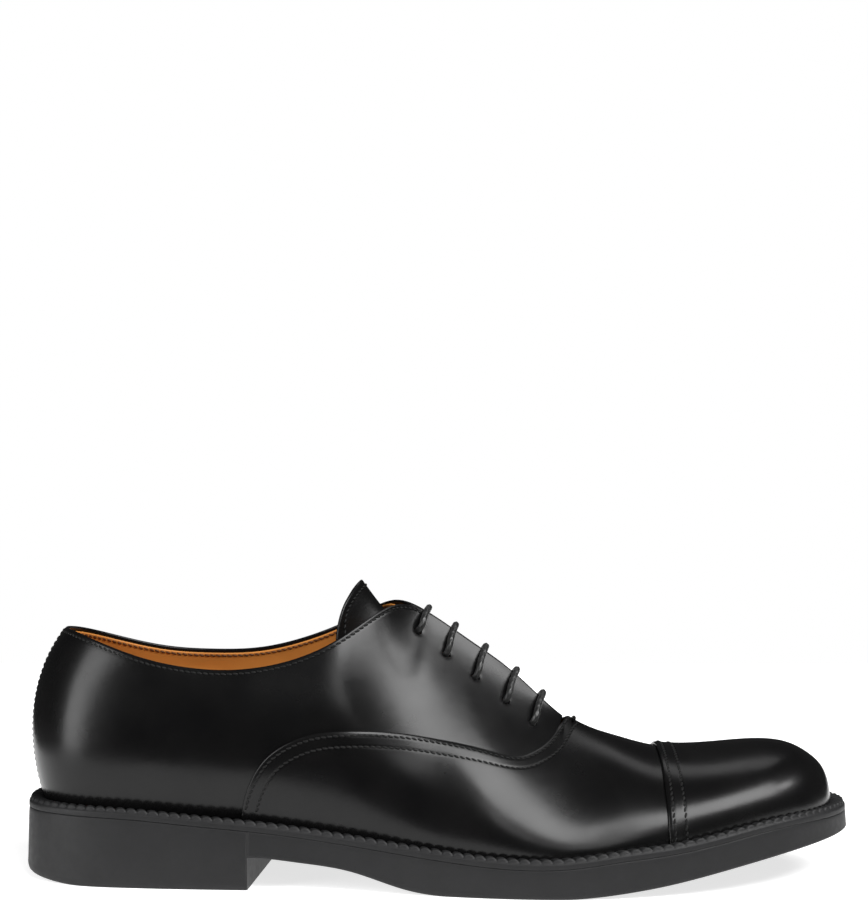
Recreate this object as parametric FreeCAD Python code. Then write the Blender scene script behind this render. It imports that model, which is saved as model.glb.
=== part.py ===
"""A right leather oxford shoe: cap toe, closed lacing and a moulded rubber sole.

Frame, in millimetres: +X to the toe, +Y to the inner (medial) side, +Z up, with
the origin on the ground under the middle of the shoe's box.
"""
import FreeCAD, Part
import math
import os

Vector = FreeCAD.Vector

# ---- Thicknesses of the layers ------------------------------------------------
LEATHER = 1.25             # quarters, vamp and toe cap
LINING = 0.9
GAP = 0.18                 # air between neighbouring layers
COUNTER = 1.1              # heel counter
REINFORCEMENT = 0.5        # tape behind the eyelets
FACING_STEP = 0.05         # the lining stops this height fraction short of a facing's edge
INTERLINING = 1.0
FACING_GAP = 1.5           # from the middle to the edge of a facing
FACING_PULL = 6            # power of the height that keeps this gap near the edge
RIDGE_START = 0.785        # from here to the throat the sides grow into one ridge
LIFT = 0.7                 # the upper's edge stands this far above the welt's flat

# ---- Heights of the bottom, measured down from the welt's top ------------------
WELT_THICK = 2.2
BOARD_THICK = 2.2
SOCK_THICK = 1.0
SHANK_THICK = 1.2

# ---- Stations round the upper ---------------------------------------------------
# Each station gives the shape of one line up the outer side of the upper: the
# feather point on the welt, its handle, the top point's handle and the top point
# (topline, then facing edge, then ridge). The station value runs from the middle
# of the heel to the tip of the toe.
STATIONS = [
    (0.000, (-147.0, 0.0, 28.2), (-5.5, 0.0, 18.0), (-15.3, 0.0, -20.0), (-139.0, 0.0, 90.1)),
    (0.060, (-142.5, -13.5, 28.2), (-4.0, -3.5, 18.0), (-11.0, -7.0, -20.0), (-135.0, -12.0, 89.8)),
    (0.130, (-131.0, -23.0, 28.0), (-2.0, -5.0, 18.0), (-6.0, -9.0, -20.0), (-125.0, -21.5, 87.0)),
    (0.220, (-110.0, -28.0, 27.3), (0.0, -6.0, 17.0), (-1.0, -8.0, -20.0), (-106.0, -28.5, 81.0)),
    (0.310, (-88.0, -30.0, 25.5), (0.0, -6.5, 17.0), (0.0, -7.5, -19.0), (-86.0, -30.8, 77.5)),
    (0.400, (-66.0, -31.0, 23.6), (0.0, -7.0, 17.0), (0.0, -8.0, -19.0), (-66.0, -31.2, 77.8)),
    (0.480, (-44.0, -32.5, 21.0), (0.0, -7.0, 18.0), (0.0, -9.0, -21.0), (-46.0, -30.0, 83.0)),
    (0.540, (-26.0, -35.0, 18.6), (0.0, -7.0, 20.0), (-1.0, -11.0, -22.0), (-31.0, -25.0, 91.0)),
    (0.600, (-10.0, -38.5, 16.5), (0.0, -6.5, 22.0), (-4.0, -13.0, -16.0), (-16.5, -10.3, 98.8)),
    (0.650, (3.0, -41.5, 15.0), (0.0, -6.0, 23.0), (-7.0, -13.0, -12.5), (-5.0, -1.1, 96.0)),
    (0.710, (18.0, -44.5, 13.6), (0.0, -5.5, 22.0), (-8.5, -12.5, -12.0), (12.0, -0.3, 84.6)),
    (0.770, (32.0, -45.8, 13.0), (0.0, -3.5, 16.0), (-8.5, -12.0, -11.5), (29.5, 0.0, 71.6)),
    (0.830, (47.0, -45.5, 13.6), (0.0, -1.0, 10.0), (-4.5, -16.0, -6.0), (47.3, 0.0, 56.1)),
    (0.885, (64.0, -44.0, 15.8), (0.0, -0.5, 9.0), (0.0, -22.0, -0.5), (64.0, 0.0, 48.8)),
    (0.940, (81.0, -41.5, 17.7), (0.0, -2.0, 11.5), (0.0, -22.0, 0.0), (81.0, 0.3, 44.2)),
    (1.000, (100.0, -37.0, 21.0), (0.0, -2.5, 12.0), (0.0, -20.5, 0.0), (100.0, 1.0, 43.6)),
    (1.060, (117.0, -30.5, 24.0), (0.0, -2.0, 11.0), (0.0, -17.5, 0.0), (117.0, 1.8, 45.0)),
    (1.110, (130.0, -22.5, 25.2), (0.0, -1.0, 9.5), (0.0, -14.0, 0.0), (130.0, 2.4, 44.0)),
    (1.150, (138.0, -14.0, 25.4), (0.0, -0.5, 7.5), (0.0, -9.5, 0.0), (138.0, 2.8, 39.5)),
    (1.180, (142.0, -5.5, 25.4), (0.0, 0.0, 4.5), (0.0, -4.7, 0.0), (142.0, 3.0, 33.5)),
    (1.200, (143.0, 3.0, 25.4), (0.0, 0.0, 0.0), (0.0, 0.0, 0.0), (143.0, 3.0, 25.4)),
]
# The inner side differs in its feather line and a little in the height of its topline.
MEDIAL_FEATHER_Y = [0.0, 13.5, 23.0, 27.5, 27.5, 26.0, 24.5, 24.5, 26.0, 29.5, 35.0,
                    41.0, 45.5, 46.5, 44.0, 39.5, 33.5, 26.5, 19.5, 11.5, 3.0]
MEDIAL_TOP_RISE = [0.0, -1.1, -1.8, -0.8, 1.1, 1.9, 2.3, 1.2, 0.3] + [0.0] * 12

HEEL_END = 0.0
SIDE_SEAM = 0.40           # the quarters reach the feather this far forward
THROAT = 0.83              # station of the bottom of the lacing
QUARTER_END = 0.826        # the quarters stop just under the throat
CAP_SEAM = 0.94            # station of the toe cap's stitched edge
VAMP_END = 0.975           # the vamp stops under the toe cap
TOE_END = 1.1985           # last station before the tip's pole
TIP = 1.2

# Edge of the vamp where it lies over a quarter, as (station, height fraction).
VAMP_SEAM = [(0.384, 0.06), (0.387, 0.133), (0.400, 0.302), (0.422, 0.448), (0.451, 0.530),
             (0.480, 0.562), (0.517, 0.552), (0.590, 0.455), (0.655, 0.430), (0.718, 0.465),
             (0.774, 0.530), (0.795, 0.603), (0.814, 0.718), (0.823, 0.838), (0.830, 1.0)]
# Hidden lower edge of a quarter, under the vamp.
QUARTER_UNDERLAP = [(0.400, 0.0), (0.430, 0.20), (0.460, 0.37), (0.500, 0.42), (0.590, 0.33),
                    (0.655, 0.30), (0.720, 0.33), (0.775, 0.40), (0.826, 0.52)]

# ---- Lacing ----------------------------------------------------------------------
EYELETS = [(0.647, 0.863), (0.687, 0.830), (0.725, 0.815), (0.764, 0.802), (0.797, 0.791)]
EYELET_RADIUS = 1.7
LACE_RADIUS = 1.2
LACE_OUT = 2.2             # height of the lace's corner above a facing
LACE_IN = 4.6              # depth of the lace's corner inside
LACE_APEX = 3.4            # height of the lace over the gap between the facings
LACE_BEND = 1.6            # the lace turns on the edge of an eyelet
BYPASS = 0.058             # sideways step of a run that passes a used eyelet
AGLET_RADIUS = 1.35
AGLET_LENGTH = 18.0
# Free ends of the lace, put away inside the shoe along its walls.
TAIL_LATERAL = [(0.2, -25.1, 55.4), (-1.6, -29.8, 45.0), (-5.0, -32.8, 35.0), (-13.0, -32.0, 26.6),
                (-27.0, -28.6, 23.2), (-44.0, -25.9, 25.2), (-60.0, -24.2, 27.1), (-76.0, -23.0, 28.7)]
TAIL_MEDIAL = [(-10.8, 19.2, 60.9), (-12.2, 22.4, 49.9), (-15.5, 23.0, 39.0), (-21.5, 22.0, 30.6),
               (-33.0, 18.6, 24.6), (-48.0, 18.0, 25.7), (-64.0, 18.8, 27.5), (-80.0, 20.0, 29.1)]
TAIL_START = 9.0           # each free end first goes on straight from under its facing


# ---- Tongue ----------------------------------------------------------------------
# Length fraction, centre line (x, z), half width, and how far its edges hang down.
TONGUE = [
    (0.00, (49.0, 43.0), 12.0, 8.5),
    (0.20, (33.0, 56.6), 14.5, 14.5),
    (0.40, (16.9, 69.2), 16.5, 20.0),
    (0.60, (0.2, 80.6), 17.0, 22.5),
    (0.80, (-15.5, 91.8), 19.0, 22.5),
    (1.00, (-28.3, 107.6), 21.5, 13.0),
]
TONGUE_LEATHER = 1.1
TONGUE_LINING = 0.8
TONGUE_SHORTER = 0.055     # the rounded top: its corners stop short of the middle

# ---- Bottom ----------------------------------------------------------------------
SOLE_OUTLINE = [
    (-151.9, 0.0), (-147.0, -17.5), (-132.0, -28.5), (-109.0, -33.5), (-69.0, -36.8),
    (-43.0, -38.5), (-10.0, -44.0), (20.0, -50.0), (45.0, -51.8), (73.0, -49.3),
    (101.0, -43.5), (125.0, -32.5), (143.0, -17.0), (152.0, 4.0), (145.5, 22.0),
    (130.0, 34.0), (108.0, 44.0), (83.0, 50.5), (52.0, 51.5), (20.0, 44.0),
    (-10.0, 32.5), (-43.0, 30.0), (-80.0, 32.0), (-109.0, 33.0), (-132.0, 28.0),
    (-147.0, 17.0)]
HEEL_BREAST = [(-68.0, -37.0), (-62.5, 32.0)]
HEEL_ROOT = 13.0           # the heel block reaches this high into the sole
HEEL_BEVEL = [(-128.0, 0.0), (-140.0, 0.8), (-152.0, 2.6), (-160.0, 4.1)]
ARCH = [(-67.2, 11.5), (-50.0, 10.0), (-31.0, 7.2), (-12.0, 1.7), (4.0, 0.0)]
TREAD_END = 42.0           # the tread is flat from the arch to here
TOE_SPRING = [(42.0, 0.0), (60.0, 1.2), (80.0, 4.1), (101.0, 8.4), (128.0, 13.2), (160.0, 17.0)]
WELT_RING_INSET = 9.0
BOARD_INSET = 4.3
SOCK_INSET = 5.2
SHANK_FROM = -96.0
SHANK_TO = 6.0
SHANK_HALF_WIDTH = 6.5
NAIL_PLACES = [(-128.0, -9.0), (-128.0, 9.0), (-104.0, 0.0), (-84.0, -11.0), (-84.0, 11.0)]
NAIL_RADIUS = 1.1
NAIL_HEAD_RADIUS = 2.2
NAIL_LENGTH = 16.0

BIG = 400.0                # length of cutting prisms


# ---- Curves ----------------------------------------------------------------------
def natural_spline(places, values, flat_start=False, flat_end=False):
    """Return the smooth function through values; a flat end has no slope there."""
    count = len(places)
    steps = [places[i + 1] - places[i] for i in range(count - 1)]
    slopes = [(values[i + 1] - values[i]) / steps[i] for i in range(count - 1)]
    diagonal = [1.0] * count
    upper = [0.0] * count
    right = [0.0] * count
    lower = [0.0] * count
    for i in range(1, count - 1):
        lower[i] = steps[i - 1]
        diagonal[i] = 2.0 * (steps[i - 1] + steps[i])
        upper[i] = steps[i]
        right[i] = 6.0 * (slopes[i] - slopes[i - 1])
    if flat_start:
        diagonal[0] = 2.0 * steps[0]
        upper[0] = steps[0]
        right[0] = 6.0 * slopes[0]
    if flat_end:
        lower[-1] = steps[-1]
        diagonal[-1] = 2.0 * steps[-1]
        right[-1] = -6.0 * slopes[-1]
    for i in range(1, count):
        factor = lower[i] / diagonal[i - 1]
        diagonal[i] -= factor * upper[i - 1]
        right[i] -= factor * right[i - 1]
    bend = [0.0] * count
    bend[-1] = right[-1] / diagonal[-1]
    for i in range(count - 2, -1, -1):
        bend[i] = (right[i] - upper[i] * bend[i + 1]) / diagonal[i]

    def value(place):
        place = min(max(place, places[0]), places[-1])
        i = 0
        while i < count - 2 and place > places[i + 1]:
            i += 1
        before = place - places[i]
        after = places[i + 1] - place
        step = steps[i]
        curve = (bend[i] * after ** 3 + bend[i + 1] * before ** 3) / (6.0 * step)
        left = (values[i] / step - bend[i] * step / 6.0) * after
        return curve + left + (values[i + 1] / step - bend[i + 1] * step / 6.0) * before

    return value


def smooth_step(value, start, end):
    """Go from 0 at start to 1 at end with level ends."""
    part = min(max((value - start) / (end - start), 0.0), 1.0)
    return part * part * (3.0 - 2.0 * part)


def pair_curve(pairs):
    """Return the smooth curve through (a, b) pairs, as a function of 0 to 1."""
    along = [0.0]
    for (a0, b0), (a1, b1) in zip(pairs, pairs[1:]):
        along.append(along[-1] + math.hypot(170.0 * (a1 - a0), 60.0 * (b1 - b0)))
    places = [value / along[-1] for value in along]
    first = natural_spline(places, [pair[0] for pair in pairs])
    second = natural_spline(places, [pair[1] for pair in pairs])
    return lambda part: (first(part), second(part))


# ---- The upper's surface -----------------------------------------------------------
def side_curves(medial):
    """Return the four control curves of one side, as functions of the station."""
    # A component that keeps its sign through the toe's tip meets it with no slope.
    flat_at_tip = [(True, False, True), (True, False, False), (True, False, False), (True, True, False)]
    places = [row[0] for row in STATIONS]
    curves = []
    for kind in range(4):
        rows = []
        for index, row in enumerate(STATIONS):
            x, y, z = row[kind + 1]
            if medial and kind == 0:
                y = MEDIAL_FEATHER_Y[index]
            elif medial and kind == 3:
                y = -y if row[0] <= THROAT else y
                z += MEDIAL_TOP_RISE[index]
            elif medial:
                y = -y
            rows.append((x, y, z))
        parts = []
        for axis in range(3):
            numbers = [row[axis] for row in rows]
            parts.append(natural_spline(places, numbers, axis != 1, flat_at_tip[kind][axis]))
        curves.append(parts)
    return curves


SIDES = {"lateral": side_curves(False), "medial": side_curves(True)}


def top_point(side, station):
    """Return the topline, facing edge or ridge point; past the throat the sides share it."""
    own, other = [Vector(*[part(station) for part in SIDES[name][3]])
                  for name in (side, "medial" if side == "lateral" else "lateral")]
    return own + (other - own) * (0.5 * smooth_step(station, RIDGE_START, THROAT))


def facing_gap(side, station, height):
    """Return how far sideways the upper gives way to the gap between the facings."""
    outward = -1.0 if side == "lateral" else 1.0
    open_here = smooth_step(station, 0.54, 0.60) * (1.0 - smooth_step(station, THROAT - 0.006, THROAT))
    return outward * FACING_GAP * open_here * height ** FACING_PULL


def upper_point(side, station, height):
    """Return the point of the upper's last surface; height runs from 0 to 1."""
    feather, low, high = [Vector(*[part(station) for part in curve]) for curve in SIDES[side][:3]]
    top = top_point(side, station)
    rest = 1.0 - height
    point = feather * rest ** 3
    point += (feather + low) * (3.0 * height * rest ** 2)
    point += (top + high) * (3.0 * height ** 2 * rest)
    point += top * height ** 3
    point.y += facing_gap(side, station, height)
    return point


def side_normal(side, station, height):
    """Return the unit vector out of one side of the upper's surface."""
    step = 0.001
    station = min(station, TOE_END)
    along = upper_point(side, min(station + step, TIP), height)
    along -= upper_point(side, max(station - step, 0.0), height)
    if station < step:
        along.x = 0.0
        along.z = 0.0
    up = upper_point(side, station, min(height + step, 1.0))
    up -= upper_point(side, station, max(height - step, 0.0))
    normal = along.cross(up)
    if side == "medial":
        normal = normal * -1.0
    return normal.normalize()


def upper_normal(side, station, height):
    """Return the unit vector out of the upper's surface; the sides share it on the ridge."""
    if height > 0.999 and station > THROAT - 0.0001:
        both = side_normal("lateral", station, height) + side_normal("medial", station, height)
        return both.normalize()
    return side_normal(side, station, height)


def off_upper(side, station, height, distance):
    """Return a point at a distance outside the upper's surface."""
    return upper_point(side, station, height) + upper_normal(side, station, height) * distance


# ---- Surfaces and closed panels ------------------------------------------------------
def spline_poles(points):
    """Return the poles of the smooth cubic through points at even parameters."""
    curve = Part.BSplineCurve()
    places = [float(i) for i in range(len(points))]
    curve.interpolate(Points=points, Parameters=places)
    return curve.getPoles(), curve.getKnots(), curve.getMultiplicities(), curve.Degree


def grid_surface(grid):
    """Return the spline surface through a grid of points."""
    rows = []
    for line in grid:
        poles, v_knots, v_mults, v_degree = spline_poles(line)
        rows.append(poles)
    columns = []
    for column in zip(*rows):
        poles, u_knots, u_mults, u_degree = spline_poles(list(column))
        columns.append(poles)
    net = [list(line) for line in zip(*columns)]
    surface = Part.BSplineSurface()
    surface.buildFromPolesMultsKnots(net, u_mults, v_mults, u_knots, v_knots, False, False,
                                     u_degree, v_degree)
    return surface


def edge_line(grid, edge):
    """Return the points of one edge of a grid."""
    lines = {"u0": grid[0], "u1": grid[-1],
             "v0": [line[0] for line in grid], "v1": [line[-1] for line in grid]}
    return lines[edge]


def side_wall(outer_line, inner_line):
    """Return the ruled face between two edges of a panel."""
    outer_poles, knots, mults, degree = spline_poles(outer_line)
    inner_poles = spline_poles(inner_line)[0]
    wall = Part.BSplineSurface()
    wall.buildFromPolesMultsKnots([outer_poles, inner_poles], [2, 2], mults, [0.0, 1.0], knots,
                                  False, False, 1, degree)
    return wall.toShape()


def closed_panel(patches):
    """Make one solid from patches of (outer grid, inner grid, open edges)."""
    faces = []
    for outer, inner, open_edges in patches:
        faces.append(grid_surface(outer).toShape())
        faces.append(grid_surface(inner).toShape())
        for edge in open_edges:
            faces.append(side_wall(edge_line(outer, edge), edge_line(inner, edge)))
    shell = Part.makeShell(faces)
    shell.sewShape()
    solid = Part.makeSolid(shell)
    if solid.Volume < 0.0:
        solid.reverse()
    return solid


def patch(side, lower, upper, u_count, v_count, outside, inside, open_edges):
    """Return one patch of the upper between two lines of (station, height)."""
    outer = []
    inner = []
    for i in range(u_count + 1):
        start = lower(i / u_count)
        end = upper(i / u_count)
        outer_line = []
        inner_line = []
        for j in range(v_count + 1):
            part = j / v_count
            station = start[0] + (end[0] - start[0]) * part
            height = start[1] + (end[1] - start[1]) * part
            point = upper_point(side, station, height)
            normal = upper_normal(side, station, height)
            outer_line.append(point + normal * outside(station, height))
            inner_line.append(point + normal * inside(station, height))
        outer.append(outer_line)
        inner.append(inner_line)
    return outer, inner, open_edges


def level_line(first, last, height):
    """Return a line at one height from station first to station last."""
    return lambda part: (first + (last - first) * part, height)


def constant(value):
    """Return an offset that is the same everywhere."""
    return lambda station, height: value


# ---- Leather pieces -------------------------------------------------------------------
def make_quarter(side):
    """A quarter: heel to facing, with its lower front edge under the vamp."""
    out = constant(0.0)
    back = constant(-LEATHER)
    rear = patch(side, level_line(HEEL_END, SIDE_SEAM, 0.0), level_line(HEEL_END, SIDE_SEAM, 1.0),
                 12, 8, out, back, ("u0", "v0", "v1"))
    front = patch(side, pair_curve(QUARTER_UNDERLAP), level_line(SIDE_SEAM, QUARTER_END, 1.0),
                  26, 8, out, back, ("u1", "v0", "v1"))
    return closed_panel([rear, front])


def make_vamp():
    """The vamp: two wings over the quarters, joined in front of the lacing."""
    out = constant(GAP + LEATHER)
    inside = constant(GAP)
    patches = []
    for side in SIDES:
        patches.append(patch(side, level_line(VAMP_SEAM[0][0], THROAT, 0.0), pair_curve(VAMP_SEAM),
                             18, 8, out, inside, ("u0", "v0", "v1")))
        patches.append(patch(side, level_line(THROAT, VAMP_END, 0.0), level_line(THROAT, VAMP_END, 1.0),
                             6, 8, out, inside, ("u1", "v0")))
    return closed_panel(patches)


def make_toe_panel(first, outside, inside, low=0.0, last=TOE_END, count=14):
    """A piece that runs over the foot from one side of the feather to the other."""
    patches = []
    for side in SIDES:
        patches.append(patch(side, level_line(first, last, low), level_line(first, last, 1.0),
                             count, 8, outside, inside, ("u0", "u1", "v0")))
    return closed_panel(patches)


def lining_offset(station, height):
    """Offset of a quarter lining's outer face, inside the counter and the tape."""
    heel = (1.0 - smooth_step(station, 0.27, 0.36)) * (1.0 - smooth_step(height, 0.74, 0.90))
    facing = smooth_step(station, 0.56, 0.60) * smooth_step(height, 0.62, 0.74)
    layers = (COUNTER + GAP) * heel + (REINFORCEMENT + GAP) * facing
    return -(LEATHER + GAP + layers)


def make_quarter_lining(side):
    """The tan lining behind one quarter, from the heel to the throat."""
    def inner(station, height):
        return lining_offset(station, height) - LINING

    def upper_edge(part):
        station = 0.002 + (QUARTER_END - 0.002) * part
        return station, 1.0 - FACING_STEP * smooth_step(station, 0.595, 0.645)
    body = patch(side, level_line(0.002, QUARTER_END, 0.0), upper_edge,
                 46, 14, lining_offset, inner, ("u0", "u1", "v0", "v1"))
    return closed_panel([body])


def vamp_lining_offset(station, height):
    """Offset of the vamp lining's outer face; it lies close to the puff at the toe."""
    return -(INTERLINING + GAP) + (INTERLINING + GAP) * smooth_step(station, 0.985, 1.03)


def make_counter():
    """The stiff heel counter between the quarters and their linings."""
    out = constant(-LEATHER - GAP)
    back = constant(-LEATHER - GAP - COUNTER)
    patches = []
    for side in SIDES:
        patches.append(patch(side, level_line(HEEL_END, 0.26, 0.0), level_line(HEEL_END, 0.26, 0.72),
                             8, 6, out, back, ("u1", "v0", "v1")))
    return closed_panel(patches)


def make_facing_tape(side):
    """The cloth tape that backs the eyelets."""
    top = -LEATHER - GAP
    return closed_panel([patch(side, level_line(0.615, THROAT - 0.004, 0.76),
                               level_line(0.615, THROAT - 0.004, 0.965), 24, 8,
                               constant(top), constant(top - REINFORCEMENT),
                               ("u0", "u1", "v0", "v1"))])


def punch_eyelets(shape, side):
    """Punch the five lace holes of one facing."""
    for station, height in EYELETS:
        centre = upper_point(side, station, height)
        normal = upper_normal(side, station, height)
        hole = Part.makeCylinder(EYELET_RADIUS, 16.0, centre - normal * 8.0, normal)
        shape = shape.cut(hole)
    return shape


# ---- Tongue -----------------------------------------------------------------------------
TONGUE_PLACES = [row[0] for row in TONGUE]
TONGUE_X = natural_spline(TONGUE_PLACES, [row[1][0] for row in TONGUE])
TONGUE_Z = natural_spline(TONGUE_PLACES, [row[1][1] for row in TONGUE])
TONGUE_WIDTH = natural_spline(TONGUE_PLACES, [row[2] for row in TONGUE])
TONGUE_DROP = natural_spline(TONGUE_PLACES, [row[3] for row in TONGUE])


def tongue_point(length, across):
    """Return a point of the tongue's outer face; across runs from -1 to 1."""
    place = length * (1.0 - TONGUE_SHORTER * across * across)
    step = 0.01
    low = max(place - step, 0.0)
    high = min(place + step, 1.0)
    along = Vector(TONGUE_X(high) - TONGUE_X(low), 0.0, TONGUE_Z(high) - TONGUE_Z(low)).normalize()
    normal = Vector(along.z, 0.0, -along.x)
    roof = 0.25
    fall = (math.hypot(across, roof) - roof) / (math.hypot(1.0, roof) - roof)
    point = Vector(TONGUE_X(place), across * TONGUE_WIDTH(place), TONGUE_Z(place))
    return point - normal * (TONGUE_DROP(place) * fall)


def tongue_layer(outside, inside):
    """One layer of the tongue between two depths under its outer face."""
    outer = []
    inner = []
    count_u = 12
    count_v = 12
    step = 0.01
    for i in range(count_u + 1):
        outer_line = []
        inner_line = []
        for j in range(count_v + 1):
            length = i / count_u
            across = 2.0 * j / count_v - 1.0
            along = tongue_point(min(length + step, 1.0), across) - tongue_point(max(length - step, 0.0), across)
            over = tongue_point(length, min(across + step, 1.0)) - tongue_point(length, max(across - step, -1.0))
            normal = over.cross(along).normalize()
            point = tongue_point(length, across)
            outer_line.append(point - normal * outside)
            inner_line.append(point - normal * inside)
        outer.append(outer_line)
        inner.append(inner_line)
    return closed_panel([(outer, inner, ("u0", "u1", "v0", "v1"))])


# ---- Cords ---------------------------------------------------------------------------------
def tube(points, radius, bend=None):
    """Sweep a round cord along straight runs joined by tangent arcs."""
    edges = []
    start = points[0]
    radii = []
    for before, corner, after in zip(points, points[1:], points[2:]):
        incoming = (corner - before).normalize()
        outgoing = (after - corner).normalize()
        half_turn = 0.5 * incoming.getAngle(outgoing)
        shorter = min((corner - before).Length, (after - corner).Length)
        arc_radius = 0.45 * shorter / math.tan(half_turn)
        if bend is not None:
            arc_radius = min(arc_radius, bend)
        radii.append(arc_radius)
        reach = arc_radius * math.tan(half_turn)
        first = corner - incoming * reach
        last = corner + outgoing * reach
        inward = (outgoing - incoming).normalize()
        middle = corner + inward * (arc_radius / math.cos(half_turn) - arc_radius)
        edges.append(Part.LineSegment(start, first).toShape())
        edges.append(Part.Arc(first, middle, last).toShape())
        start = last
    edges.append(Part.LineSegment(start, points[-1]).toShape())
    path = Part.Wire(edges)
    heading = (points[1] - points[0]).normalize()
    section = Part.Wire([Part.Circle(points[0], heading, radius).toShape()])
    solid = path.makePipeShell([section], True, True)
    expected = math.pi * radius ** 2 * path.Length
    print("tube length %.1f volume ratio %.3f least bend %.1f" % (
        path.Length, solid.Volume / expected, min(radii)))
    return solid


def lace_corner(side, index, distance, shift=0.0):
    """Return a corner of the lace at one eyelet."""
    station, height = EYELETS[index]
    return off_upper(side, station, height + shift, distance)


def lace_bar(first, second, index):
    """Return the corners of one bar over the facings, from one side to the other."""
    station, height = EYELETS[index]
    middle = 0.5 * (1.0 + height)
    ridge = top_point("lateral", station)
    ridge.y = 0.0
    crown = upper_normal("lateral", station, 0.985)
    crown.y = 0.0
    crown.normalize()
    return [lace_corner(first, index, LACE_OUT), off_upper(first, station, middle, LACE_OUT + 0.45),
            ridge + crown * LACE_APEX,
            off_upper(second, station, middle, LACE_OUT + 0.45), lace_corner(second, index, LACE_OUT)]


def lace_route():
    """Return the corners of the laced part, with the top pair of eyelets as index 0."""
    inside = -LACE_IN
    route = [lace_corner("lateral", 1, inside, -0.11), lace_corner("lateral", 1, inside)]
    route += lace_bar("lateral", "medial", 1)
    route.append(lace_corner("medial", 1, inside))
    route.append(lace_corner("medial", 2, inside, -BYPASS))
    route.append(lace_corner("medial", 3, inside))
    route += lace_bar("medial", "lateral", 3)
    route.append(lace_corner("lateral", 3, inside))
    route.append(lace_corner("lateral", 4, inside))
    route += lace_bar("lateral", "medial", 4)
    route.append(lace_corner("medial", 4, inside))
    route.append(lace_corner("medial", 3, inside, BYPASS))
    route.append(lace_corner("medial", 2, inside))
    route += lace_bar("medial", "lateral", 2)
    route.append(lace_corner("lateral", 2, inside))
    route.append(lace_corner("lateral", 1, inside, BYPASS))
    route.append(lace_corner("lateral", 0, inside))
    route += lace_bar("lateral", "medial", 0)
    route += [lace_corner("medial", 0, inside), lace_corner("medial", 0, inside, -0.11)]
    return route


def make_aglet(points):
    """The stiff tip at the end of a lace, in line with its last run."""
    end = points[-1]
    heading = (end - points[-2]).normalize()
    return Part.makeCylinder(AGLET_RADIUS, AGLET_LENGTH, end, heading)


# ---- Bottom -----------------------------------------------------------------------------------
WELT_X = [-165.0] + [row[1][0] for row in STATIONS[:-2]] + [165.0]
WELT_Z = [28.2] + [row[1][2] for row in STATIONS[:-2]] + [25.4]
WELT_TOP = natural_spline(WELT_X, WELT_Z)


def closed_outline(points):
    """Return a flat face inside the smooth closed curve through points."""
    curve = Part.BSplineCurve()
    curve.interpolate(Points=[Vector(x, y, -10.0) for x, y in points], PeriodicFlag=True)
    return Part.Face(Part.Wire([curve.toShape()]))


def inset_outline(inset):
    """Return the feather line moved inwards in plan."""
    points = []
    places = [0.0, 0.05, 0.1, 0.16, 0.24, 0.34, 0.46, 0.58, 0.70, 0.82, 0.94, 1.03, 1.09, 1.13, 1.16, 1.185]
    for side, stations in (("lateral", places), ("medial", places[:0:-1])):
        for station in stations:
            point = upper_point(side, station, 0.0)
            ahead = upper_point(side, min(station + 0.002, TIP), 0.0)
            behind = upper_point(side, max(station - 0.002, 0.0), 0.0)
            along = ahead - behind
            normal = Vector(-along.y, along.x, 0.0)
            if side == "medial":
                normal = normal * -1.0
            if station == 0.0:
                normal = Vector(1.0, 0.0, 0.0)
            point += normal.normalize() * inset
            points.append((point.x, point.y))
    return points


def under_welt(depth_top, depth_bottom):
    """Return the long prism between two depths under the welt's top."""
    xs = [-160.0 + 10.0 * i for i in range(33)]
    curves = []
    for depth in (depth_top, depth_bottom):
        line = [Vector(x, -BIG / 2.0, WELT_TOP(x) - LIFT - depth) for x in xs]
        curve = Part.BSplineCurve()
        curve.interpolate(Points=line)
        curves.append(curve.toShape())
    top, bottom = curves
    ends = []
    for index in (0, -1):
        start = Vector(xs[index], -BIG / 2.0, WELT_TOP(xs[index]) - LIFT - depth_top)
        end = Vector(xs[index], -BIG / 2.0, WELT_TOP(xs[index]) - LIFT - depth_bottom)
        ends.append(Part.LineSegment(start, end).toShape())
    wire = Part.Wire([top, ends[1], bottom, ends[0]])
    return Part.Face(wire).extrude(Vector(0.0, BIG, 0.0))


def flat_layer(outline, depth_top, depth_bottom):
    """Return a layer of the bottom with this outline."""
    column = closed_outline(outline).extrude(Vector(0.0, 0.0, 80.0))
    return column.common(under_welt(depth_top, depth_bottom)).Solids[0]


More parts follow.
